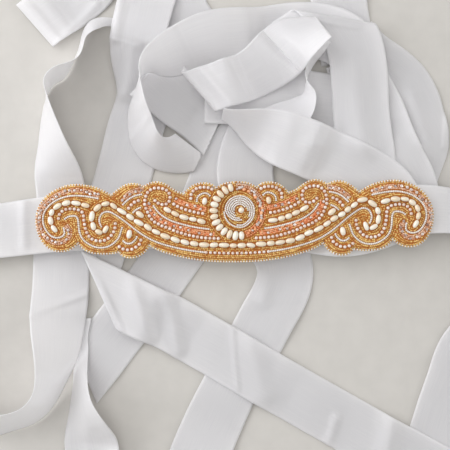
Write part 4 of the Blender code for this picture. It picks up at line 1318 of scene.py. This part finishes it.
class BeadRoom:
    """Room on the bed that no bead has taken yet, on a fine grid in plan."""

    CELL = 0.25
    PROBE = 0.2
    HALF_X = 190.0
    HALF_Y = 42.0

    def __init__(self, outline: np.ndarray) -> None:
        """Marks what lies outside the outline as taken."""
        self.columns = int(2 * self.HALF_X / self.CELL)
        self.lines = int(2 * self.HALF_Y / self.CELL)
        x, y = np.meshgrid((np.arange(self.columns) + 0.5) * self.CELL - self.HALF_X,
                           (np.arange(self.lines) + 0.5) * self.CELL - self.HALF_Y)
        inside = np.zeros(x.shape, bool)
        for (x0, y0), (x1, y1) in zip(outline, np.roll(outline, -1, axis=0)):
            if y1 != y0:
                crosses = (y0 > y) != (y1 > y)
                inside ^= crosses & (x < (x1 - x0) * (y - y0) / (y1 - y0) + x0)
        self.taken = ~inside

    def cover(self, x: float, y: float, heading: float, length: float,
              width: float) -> tuple[np.ndarray, np.ndarray]:
        """Grid lines and columns of the cells under a bead."""
        along, across = np.meshgrid(*(np.arange(-0.5 * size + 0.5 * self.PROBE, 0.5 * size, self.PROBE)
                                      for size in (length, width)))
        cosine, sine = math.cos(heading), math.sin(heading)
        column = ((x + along * cosine - across * sine + self.HALF_X) / self.CELL).astype(int)
        line = ((y + along * sine + across * cosine + self.HALF_Y) / self.CELL).astype(int)
        return np.clip(line, 0, self.lines - 1), np.clip(column, 0, self.columns - 1)

    def take(self, x: float, y: float, heading: float, length: float, width: float,
             limit: float = 1.0) -> bool:
        """Takes the room for a bead if no more than a limited share of it is taken already."""
        cells = self.cover(x, y, heading, length, width)
        if self.taken[cells].mean() > limit:
            return False
        self.taken[cells] = True
        return True


# Rows of the bands: pitch along and between them, and the room of a bead.
BAND_PITCH = 1.55
BAND_ROW = 1.5
BAND_SEED = 1.5
# Shares of a bead's room that may be taken already, for beads that lie apart or touch.
TIGHT = 0.22
CLOSE = 0.3
LOOSE = 0.35
# Step of the lines that bands and rows follow.
LINE_STEP = 0.5
# Rings of gold round the rosette: radius, and first and last angle in degrees.
GOLD_RINGS: tuple[tuple[float, float, float], ...] = ((17.4, 100.0, -260.0), (26.8, 100.0, 300.0))
# Rows of gold along the outline: the first one's inset, and the rows that aren't laid there.
FIRST_INSET = 0.9
SKIPPED_ROWS = (2, 3)
# Picot edge: pitch of its beads, and size of its pearls.
PICOT_PITCH = 1.3
PICOT_PEARL = 1.7
# Rays beside the rosette's pearls: radii of the rows, and first and last angle and step in degrees.
RAY_RADII = (19.4, 21.0, 22.6, 24.2)
RAY_ANGLES = (92.0, -72.0, -4.4)
# Laps of the rosette's spiral: distance between them, their number, and how much lower each lies.
LAP = 1.85
LAPS = 6
LAP_DROP = 0.16
QUARTER = math.pi / 2


@dataclass
class Applique:
    """Scalloped backing worked with rows of beads."""

    origin: Point
    bed_top: float
    backing_top: float
    seed_pitch: float = 1.7
    seed_width: float = 1.85
    seed_fill: float = 0.94
    row_pitch: float = 1.95
    rows: int = 7
    seed: int = 7

    def __post_init__(self) -> None:
        """Lays out the outline and the empty clouds of beads."""
        self.random = np.random.default_rng(self.seed)
        self.outline = self.outline_points()
        self.room = BeadRoom(self.outline)
        self.clouds = {
            "gold_left": BeadCloud("gold_seeds_left", SEED_SHAPE, "gold_beads"),
            "gold_right": BeadCloud("gold_seeds_right", SEED_SHAPE, "gold_beads"),
            "white": BeadCloud("white_seed_lines", LINE_SHAPE, "seed_pearl"),
            "spiral": BeadCloud("white_seed_spiral", LINE_SHAPE, "seed_pearl"),
            "round": BeadCloud("round_pearl_lines", BALL_SHAPE, "rice_pearl"),
            "coral": BeadCloud("coral_seeds", SEED_SHAPE, "gold_beads"),
            "blush": BeadCloud("blush_seeds", SEED_SHAPE, "gold_beads"),
            "crystal": BeadCloud("cut_crystals", CRYSTAL_SHAPE, "seed_pearl", flat=True),
            "picot": BeadCloud("picot_edge", BALL_SHAPE, "seed_pearl"),
            "crystal_rosette": BeadCloud("rosette_crystals", CRYSTAL_SHAPE, "seed_pearl", flat=True),
        }

    @staticmethod
    def outline_points() -> np.ndarray:
        """Closed outline, curved between its notches and pointed at them, clockwise from the top."""
        half: list[np.ndarray] = []
        run: list[Edge] = [OUTLINE[0]]
        for edge in OUTLINE[1:]:
            run.append(edge)
            if edge.notch or edge is OUTLINE[-1]:
                curve, _, _ = even_curve([(point.x, point.y) for point in run], 1.5)
                half.extend(curve[:-1])
                run = [edge]
        half.append(np.array([OUTLINE[-1].x, OUTLINE[-1].y], float))
        left = [np.array([-point[0], point[1]]) for point in half[1:-1]]
        return worked(np.array(half + left[::-1]))

    @staticmethod
    def frame_of(points: np.ndarray, step: float,
                 closed: bool = False) -> tuple[np.ndarray, np.ndarray]:
        """Even samples along a line and their headings.

        Args:
            points: Points that the line passes through.
            step: Distance between samples.
            closed: Whether it ends where it starts.

        Returns:
            The samples and the heading at each, in radians.
        """
        if closed:
            loop = np.vstack([points, points[:1]])
            run = distances(loop)
            line = points_at(loop, run, np.linspace(0.0, run[-1], int(run[-1] / step), endpoint=False))
            ahead = np.roll(line, -1, axis=0) - np.roll(line, 1, axis=0)
        else:
            line, _, _ = even_curve(points, step)
            ahead = np.gradient(line, axis=0)
        return line, headings(ahead)

    def gold(self, x: float, y: float, z: float, heading: float) -> None:
        """Adds a gold seed to its half."""
        half = "gold_left" if x < 0.0 else "gold_right"
        size = (self.seed_pitch * self.seed_fill, self.seed_width * self.random.uniform(0.92, 1.04))
        turn = heading + self.random.normal(0.0, 0.06)
        self.clouds[half].add(x, y, z, turn, size, self.random.random())

    def gold_where_free(self, x: float, y: float, heading: float, rise: float, limit: float) -> None:
        """Adds a gold seed over the bed where there is room for it."""
        if self.room.take(x, y, heading, self.seed_pitch, self.seed_width, limit):
            self.gold(x, y, self.bed_top + rise, heading)

    def string(self, points: np.ndarray, how: Stringing) -> tuple[np.ndarray, float]:
        """Strings beads of one kind along a line, and gives the line with half its width."""
        for (x, y), turn in zip(*self.frame_of(points, how.pitch)):
            self.room.take(x, y, turn, *how.size)
            self.clouds[how.cloud].add(x, y, self.bed_top + how.height, turn, how.size, self.random.random())
        return points, how.half

    @staticmethod
    def sides_of(points: tuple[Point, ...]) -> tuple[np.ndarray, np.ndarray]:
        """The line on the finished applique, for the right half and for the left."""
        return worked(points), worked(mirrored(points))

    def feature_lines(self) -> list[tuple[np.ndarray, float]]:
        """Works the pearl lines and the white lines, and gives each with half its width."""
        found = []
        for line in LINES:
            found += [self.string(points, STRINGINGS[line.kind]) for points in self.sides_of(line.points)]
            LOG.info("%s worked on both halves", line.name)
        found.append(self.string(worked(SWAG_MIDDLE_PEARLS), SWAG_MIDDLE))
        return found

    def band_crystals(self, points: np.ndarray, band: Band) -> None:
        """Scatters cut crystals over a band, with uneven gaps."""
        gap = 1.0
        for (x, y), turn in zip(*self.frame_of(points, LINE_STEP)):
            gap -= LINE_STEP
            if gap > 0.0:
                continue
            gap = band.crystal_pitch * self.random.uniform(0.6, 1.5)
            off = self.random.uniform(-0.4, 0.4) * band.half
            spot = (x - off * math.sin(turn), y + off * math.cos(turn))
            size = self.random.uniform(2.2, 3.1)
            tilt = turn + self.random.uniform(-0.5, 0.5)
            if self.room.take(*spot, tilt, size, size, 0.2):
                self.clouds["crystal"].add(*spot, self.bed_top + 0.9, tilt, (size, size),
                                           self.random.random() ** 0.5)

    def band_seeds(self, points: np.ndarray, band: Band) -> None:
        """Fills a band with uneven rows of its own seeds."""
        for off in np.arange(-band.half + 0.8, band.half, BAND_ROW):
            for (x, y), turn in zip(*self.frame_of(points, BAND_PITCH)):
                x, y = x - off * math.sin(turn), y + off * math.cos(turn)
                x, y = x + self.random.normal(0.0, 0.15), y + self.random.normal(0.0, 0.15)
                if self.room.take(x, y, turn, BAND_SEED, BAND_SEED, LOOSE):
                    size = (1.6, self.random.uniform(1.4, 1.9))
                    tilt = turn + self.random.normal(0.0, 0.5)
                    height = self.bed_top + self.random.uniform(0.3, 0.8)
                    self.clouds[band.kind.value].add(x, y, height, tilt, size, self.random.random())

    def bands(self) -> list[tuple[np.ndarray, float]]:
        """Works the coral and the blush bands, and gives each line with half its width."""
        found = []
        for band in BANDS:
            for points in self.sides_of(band.points):
                self.band_crystals(points, band)
                self.band_seeds(points, band)
                found.append((points, band.half + 0.1))
            LOG.info("%s worked on both halves", band.name)
        return found

    def gold_rows(self, features: list[tuple[np.ndarray, float]]) -> None:
        """Fills the rest with rows of gold seeds along the lines and the outline, the nearest first."""
        outline, outline_turn = self.frame_of(self.outline, self.seed_pitch, closed=True)
        lines = [(*self.frame_of(points, LINE_STEP), half) for points, half in features]
        for index in range(self.rows):
            inset = FIRST_INSET + index * self.row_pitch
            if index not in SKIPPED_ROWS:
                drop = 0.55 if index else 1.6
                for (x, y), turn in zip(outline - left_of(outline_turn) * inset, outline_turn):
                    self.gold_where_free(x, y, turn, 0.75 - drop, CLOSE)
            for samples, turns, half in lines:
                off = half + 0.5 * self.seed_width + 0.05 + index * self.row_pitch
                self.row_round(samples, turns, off)

    def row_round(self, samples: np.ndarray, turns: np.ndarray, off: float) -> None:
        """One row of gold seeds all the way round a line, at a distance from it."""
        side = off * left_of(turns)
        half_turn = np.linspace(0.0, math.pi, 9)[1:-1]
        start, end = (np.column_stack([np.cos(angles), np.sin(angles)])
                      for angles in (turns[0] + QUARTER + half_turn, turns[-1] - QUARTER + half_turn))
        path = np.vstack([samples + side, (samples[-1] + off * end)[::-1], (samples - side)[::-1],
                          samples[0] + off * start[::-1]])
        run = distances(path)
        line = points_at(path, run, np.arange(0.0, run[-1], self.seed_pitch))
        for (x, y), turn in zip(line, headings(np.gradient(line, axis=0))):
            self.gold_where_free(x, y, turn, 0.3, TIGHT)

    def picot(self) -> None:
        """Edge of small pearls outside the outline, with a gold seed between them."""
        line, turns = self.frame_of(self.outline, PICOT_PITCH, closed=True)
        for index, ((x, y), turn, (out_x, out_y)) in enumerate(zip(line, turns, left_of(turns))):
            if index % 2:
                self.clouds["picot"].add(x + 0.6 * out_x, y + 0.6 * out_y, self.backing_top + 0.7,
                                         turn + QUARTER, (PICOT_PEARL, PICOT_PEARL), self.random.random())
            else:
                self.gold(x + 0.7 * out_x, y + 0.7 * out_y, self.backing_top + 0.2, turn + QUARTER)

    def rice_chain(self, node: str, points: np.ndarray, material: bpy.types.Material) -> None:
        """Row of separate rice pearls end to end along a line, in place of its solid.

        Args:
            node: The solid that it replaces.
            points: Points of the line, on the finished applique.
            material: Finish of the pearls.
        """
        curve, places, _ = even_curve(points, 0.5)
        ahead = np.gradient(curve, axis=0)
        beads = int(round(places[-1] / PEARL_LONG))
        cloud = BeadCloud(f"rice_{node}", RICE_SHAPE, "rice_pearl")
        lengths = self.random.uniform(0.8, 1.24, beads)
        ends = np.concatenate([[0.0], np.cumsum(lengths)]) * places[-1] / lengths.sum()
        for start, end in zip(ends[:-1], ends[1:]):
            at, long = 0.5 * (start + end), end - start
            x, y, run, rise = (float(np.interp(at, places, values)) for values in
                               (curve[:, 0], curve[:, 1], ahead[:, 0], ahead[:, 1]))
            turn = math.atan2(rise, run)
            self.room.take(x, y, turn, long, 2.0 * PEARL_RADIUS)
            off = self.random.normal(0.0, 0.25)
            width = 2.0 * PEARL_RADIUS * self.random.uniform(0.9, 1.08)
            cloud.add(x - off * math.sin(turn), y + off * math.cos(turn), self.bed_top + PEARL_RADIUS,
                      turn + self.random.normal(0.0, 0.08), (long * 0.97, width), self.random.random())
        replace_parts(cloud.build(self.origin, material), node)

    def rice_chains(self, material: bpy.types.Material) -> None:
        """All the rows of rice pearls."""
        for line in RICE_LINES:
            for side, points in zip(("right", "left"), self.sides_of(line.points)):
                self.rice_chain(f"{line.name}_{side}", points, material)
        self.rice_chain("pearls_swag", worked(mirrored(SWAG)[:0:-1] + SWAG), material)

    def rosette_ring(self, material: bpy.types.Material) -> None:
        """Rays round the rosette: rice pearls on the upper left, crystals and small beads on the right."""
        middle = worked(RING_MIDDLE)
        cloud = BeadCloud("rice_rosette_ring", RICE_SHAPE, "rice_pearl")
        height = self.bed_top + 0.6 + PEARL_RADIUS
        for bead in range(RING_PEARLS):
            angle = math.radians(RING_FROM + (RING_TO - RING_FROM) * (bead + 0.5) / RING_PEARLS)
            x, y = round_point(middle, RING_RADIUS, angle)
            self.room.take(x, y, angle, 7.4, 4.8)
            size = (self.random.uniform(7.4, 8.5), self.random.uniform(4.8, 5.5))
            cloud.add(x, y, height, angle + self.random.normal(0.0, 0.06), size, self.random.random())
        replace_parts(cloud.build(self.origin, material), "pearls_rosette_ring")
        self.rosette_rays(middle)

    def rosette_rays(self, middle: np.ndarray) -> None:
        """Crystals, small beads and gold rings beside the ring of rice pearls."""
        for angle in np.radians(np.linspace(92.0, -66.0, 27)):
            radius, size = self.random.uniform(19.8, 22.6), self.random.uniform(2.2, 3.3)
            x, y = round_point(middle, radius, angle)
            if self.room.take(x, y, angle, size, size, 0.25):
                tilt = self.random.uniform(0.0, math.pi)
                crystals = 0.85 if angle > 0.2 else 0.45
                kind = "crystal_rosette" if self.random.random() < crystals else "coral"
                self.clouds[kind].add(x, y, self.bed_top + 1.3, tilt, (size, size),
                                      self.random.random() ** 0.5)
        for radius in RAY_RADII:
            for angle in np.radians(np.arange(*RAY_ANGLES)):
                x, y = round_point(middle, radius, angle)
                if self.room.take(x, y, angle, 1.6, 1.6, LOOSE):
                    kind = "blush" if angle > 0.4 else "coral"
                    self.clouds[kind].add(x, y, self.bed_top + 0.6, angle + self.random.normal(0.0, 0.5),
                                          (1.6, 1.7), self.random.random())
        for radius, first, last in GOLD_RINGS:
            count = int(abs(math.radians(last - first)) * radius / self.seed_pitch)
            for angle in np.radians(np.linspace(first, last, count)):
                self.gold_where_free(*round_point(middle, radius, angle), angle + QUARTER, 0.5, CLOSE)

    def spiral(self) -> None:
        """White seeds of the rosette's middle, wound in a spiral that opens below on the right."""
        middle = worked(CENTRE_MIDDLE)
        turns, inner_edge, outer_edge = np.array(SPIRAL, float).T
        for lap in range(LAPS):
            angle = float(turns[0])
            while angle > turns[-1]:
                inner, outer = (np.interp(-angle, -turns, edge) for edge in (inner_edge, outer_edge))
                radius = outer - LAP * lap
                angle -= math.degrees(1.5 / max(radius, 2.0))
                if radius < inner:
                    continue
                x, y = round_point(middle, radius, math.radians(angle))
                turn = math.radians(angle) + QUARTER
                if self.room.take(x, y, turn, 1.2, 1.4, LOOSE):
                    height = self.bed_top + 1.9 - LAP_DROP * lap
                    self.clouds["spiral"].add(x, y, height, turn, (1.42, 1.7), self.random.random())
        for radius in np.arange(3.8, 17.0, 1.75):
            count = int(2.0 * math.pi * radius / self.seed_pitch)
            for angle in np.linspace(0.0, 2.0 * math.pi, count, endpoint=False):
                x, y = round_point(middle, radius, angle)
                if self.room.take(x, y, angle + QUARTER, BAND_SEED, BAND_SEED, CLOSE):
                    self.gold(x, y, self.bed_top + 0.8, angle + QUARTER)

    def single_pearls(self, material: bpy.types.Material) -> None:
        """Large pearls that lie by themselves, each in place of its solid."""
        for pearl in SINGLE_PEARLS:
            x, y = (float(value) for value in worked((pearl.x, pearl.y)))
            cloud = BeadCloud(f"large_{pearl.name}", RICE_SHAPE, "rice_pearl")
            turn = math.radians(pearl.turn)
            size = (pearl.length, 2.0 * pearl.radius)
            self.room.take(x, y, turn, *size)
            height = self.bed_top + 0.3 + pearl.radius + pearl.rise
            cloud.add(x, y, height, turn, size, self.random.random())
            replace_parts(cloud.build(self.origin, material), pearl.name)

    def build(self, finishes: dict[str, bpy.types.Material]) -> None:
        """Works every bead, and joins each kind into its mesh.

        Args:
            finishes: Materials by the name of the kind of bead.
        """
        self.single_pearls(finishes["rice"])
        self.rice_chains(finishes["rice"])
        self.rosette_ring(finishes["rice"])
        self.spiral()
        features = [(points, PEARL_RADIUS) for drawn in (SWAG, *(line.points for line in RICE_LINES))
                    for points in self.sides_of(drawn)]
        features += self.feature_lines()
        features += self.bands()
        self.gold_rows(features)
        self.picot()
        for key, cloud in self.clouds.items():
            thing = cloud.build(self.origin, finishes[key.split("_")[0]])
            if key == "spiral":
                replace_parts(thing, "rosette_spiral")


@dataclass(frozen=True)
class Lamp:
    """Square soft light that points at the sash: its place and side in metres, its power in watts."""

    name: str
    place: tuple[float, float, float]
    side: float
    power: float
    colour: Colour


LAMPS: tuple[Lamp, ...] = (
    Lamp("window_left", (-1.6, 0.1, 0.7), 1.3, 13.4, (1.0, 1.0, 1.03)),
    Lamp("window_upper_left", (-1.2, 1.1, 0.7), 1.3, 5.1, (1.0, 1.0, 1.03)),
    Lamp("high_upper_left", (-0.85, 0.85, 1.3), 1.2, 7.5, (1.0, 1.0, 1.02)),
    Lamp("ceiling", (-0.1, 0.0, 1.8), 1.0, 7.1, (1.0, 0.99, 0.98)),
    Lamp("reflector_right", (1.6, 0.0, 0.7), 1.3, 7.2, (1.0, 0.99, 0.98)),
)
WORLD_STRENGTH = 0.373
WORLD_COLOUR: Colour = (1.0, 0.99, 0.985)
# The floor is a round sheet: its sides, the radii of its rings and how far down it lies, in metres.
FLOOR_SIDES = 96
FLOOR_RINGS = (0.6, 1.2, 2.4, 4.0)
FLOOR_DROP = 0.0004


@dataclass
class Studio:
    """Pale floor, soft light and a camera that looks straight down at the photographed part of the sash."""

    origin: Point
    aim: Point = (-11.1, -3.7)
    distance: float = 985.0
    lens: float = 85.0
    tilt: float = -0.8
    floor_colour: Colour = (0.66, 0.64, 0.6)
    floor_shade: float = 0.96

    def floor(self, groups: Groups) -> None:
        """Pale matte floor, a rounded sheet much larger than the sash."""
        sides = FLOOR_SIDES
        angles = np.linspace(0.0, 2.0 * math.pi, sides, endpoint=False)
        points = [np.zeros((1, 3))]
        for radius in FLOOR_RINGS:
            ring = np.column_stack([np.cos(angles), np.sin(angles), np.zeros(sides)])
            points.append(radius * ring)
        faces = [(0, 1 + side, 1 + (side + 1) % sides) for side in range(sides)]
        for ring in range(len(FLOOR_RINGS) - 1):
            first, second = 1 + sides * ring, 1 + sides * (ring + 1)
            faces += [(first + side, second + side, second + (side + 1) % sides, first + (side + 1) % sides)
                      for side in range(sides)]
        shade = tuple(self.floor_shade * value for value in self.floor_colour)
        cloth = ClothFinish("floor_paper", shade, self.floor_colour, 0.9, 60.0, 0.05)
        thing = mesh_object("floor", np.concatenate(points), faces, cloth.material(groups))
        thing.location.z = -FLOOR_DROP

    @staticmethod
    def light(lamp: Lamp) -> None:
        """Adds one lamp."""
        data = bpy.data.lights.new(lamp.name, "AREA")
        data.size = lamp.side
        data.energy = lamp.power
        data.color = lamp.colour
        thing = bpy.data.objects.new(lamp.name, data)
        thing.location = lamp.place
        thing.rotation_euler = (-Vector(lamp.place)).to_track_quat("-Z", "Y").to_euler()
        bpy.context.scene.collection.objects.link(thing)

    @staticmethod
    def world() -> None:
        """Even light from all round."""
        world = bpy.data.worlds.new("studio")
        world.use_nodes = True
        background = world.node_tree.nodes["Background"]
        background.inputs["Color"].default_value = opaque(WORLD_COLOUR)
        background.inputs["Strength"].default_value = WORLD_STRENGTH
        bpy.context.scene.world = world

    def camera(self) -> None:
        """Camera at the photograph's angle."""
        data = bpy.data.cameras.new("camera")
        data.lens = self.lens
        data.sensor_width = 36.0
        data.clip_start = 0.05
        data.clip_end = 20.0
        thing = bpy.data.objects.new("camera", data)
        thing.location = ((self.aim[0] + self.origin[0]) * MM, (self.aim[1] + self.origin[1]) * MM,
                          self.distance * MM)
        thing.rotation_euler = (0.0, 0.0, math.radians(self.tilt))
        bpy.context.scene.collection.objects.link(thing)
        bpy.context.scene.camera = thing

    def build(self, groups: Groups) -> None:
        """Sets the stage."""
        self.floor(groups)
        for lamp in LAMPS:
            self.light(lamp)
        self.world()
        self.camera()
        bpy.context.scene.view_settings.view_transform = "Standard"


def plan_origin() -> Point:
    """Where the middle of the applique lies in the frame, from the backing's solid, in millimetres."""
    low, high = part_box("applique_backing")
    outline = Applique.outline_points()
    middle = 0.5 * (outline.min(axis=0) + outline.max(axis=0))
    half = 0.5 * TO_MM
    return (half * (low.x + high.x) - float(middle[0]), half * (low.y + high.y) - float(middle[1]))


FELT = ClothFinish("applique_felt", (0.55, 0.45, 0.33), (0.7, 0.6, 0.46), 0.9, 700.0, 0.15)
# Thread ground between the beads: its own orange colour, darkened as painted shade for the gaps between the
# beads.
THREAD_WITH_GAP_SHADE = ClothFinish("bead_thread_gap_shade", (0.4, 0.12, 0.012), (0.62, 0.22, 0.03), 0.8, 1300.0, 0.3)
BEAD_FINISHES: dict[str, BeadFinish] = {
    "gold": BeadFinish("gold_seed_glass", (0.58, 0.22, 0.025), (1.0, 0.7, 0.24), 0.14, metallic=0.3,
                       coat=1.0),
    "white": BeadFinish("white_seed_glass", (0.84, 0.78, 0.7), (0.97, 0.94, 0.9), 0.2, coat=0.6),
    "rice": BeadFinish("rice_pearl_lustre", (0.86, 0.72, 0.52), (0.98, 0.92, 0.8), 0.16, coat=1.0,
                       glow=0.15),
    "round": BeadFinish("round_pearl_lustre", (0.78, 0.6, 0.5), (0.95, 0.86, 0.79), 0.14, coat=1.0),
    "coral": BeadFinish("coral_seed_glass", (0.8, 0.2, 0.05), (1.0, 0.54, 0.28), 0.2, coat=0.8),
    "blush": BeadFinish("blush_seed_glass", (0.66, 0.3, 0.15), (0.96, 0.66, 0.46), 0.2, coat=0.8),
    "crystal": BeadFinish("cut_crystal_glass", (0.3, 0.15, 0.1), (1.0, 0.92, 0.86), 0.03, coat=1.0,
                          transmission=0.3),
}


def bead_materials(groups: Groups) -> dict[str, bpy.types.Material]:
    """Material of each kind of bead."""
    made = {kind: finish.material(groups) for kind, finish in BEAD_FINISHES.items()}
    made["spiral"] = made["picot"] = made["white"]
    return made


def main() -> None:
    """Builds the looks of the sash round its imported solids."""
    logging.basicConfig(level=logging.INFO, format="%(message)s")
    for thing in list(bpy.data.objects):
        bpy.data.objects.remove(thing)
    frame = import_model()
    origin = plan_origin()
    LOG.info("plan origin at %.2f, %.2f mm", *origin)
    groups = Groups()
    Studio(origin).build(groups)
    SatinRibbon(origin).build(groups)
    for name, finish in (("applique_backing", FELT), ("bead_bed", THREAD_WITH_GAP_SHADE)):
        node = frame["nodes"][name]
        node.data.materials.clear()
        node.data.materials.append(finish.material(groups))
    backing_top = TO_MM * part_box("applique_backing")[1].z
    bed_top = TO_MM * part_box("bead_bed")[1].z
    Applique(origin, bed_top, backing_top).build(bead_materials(groups))


if __name__ == "__main__":
    main()
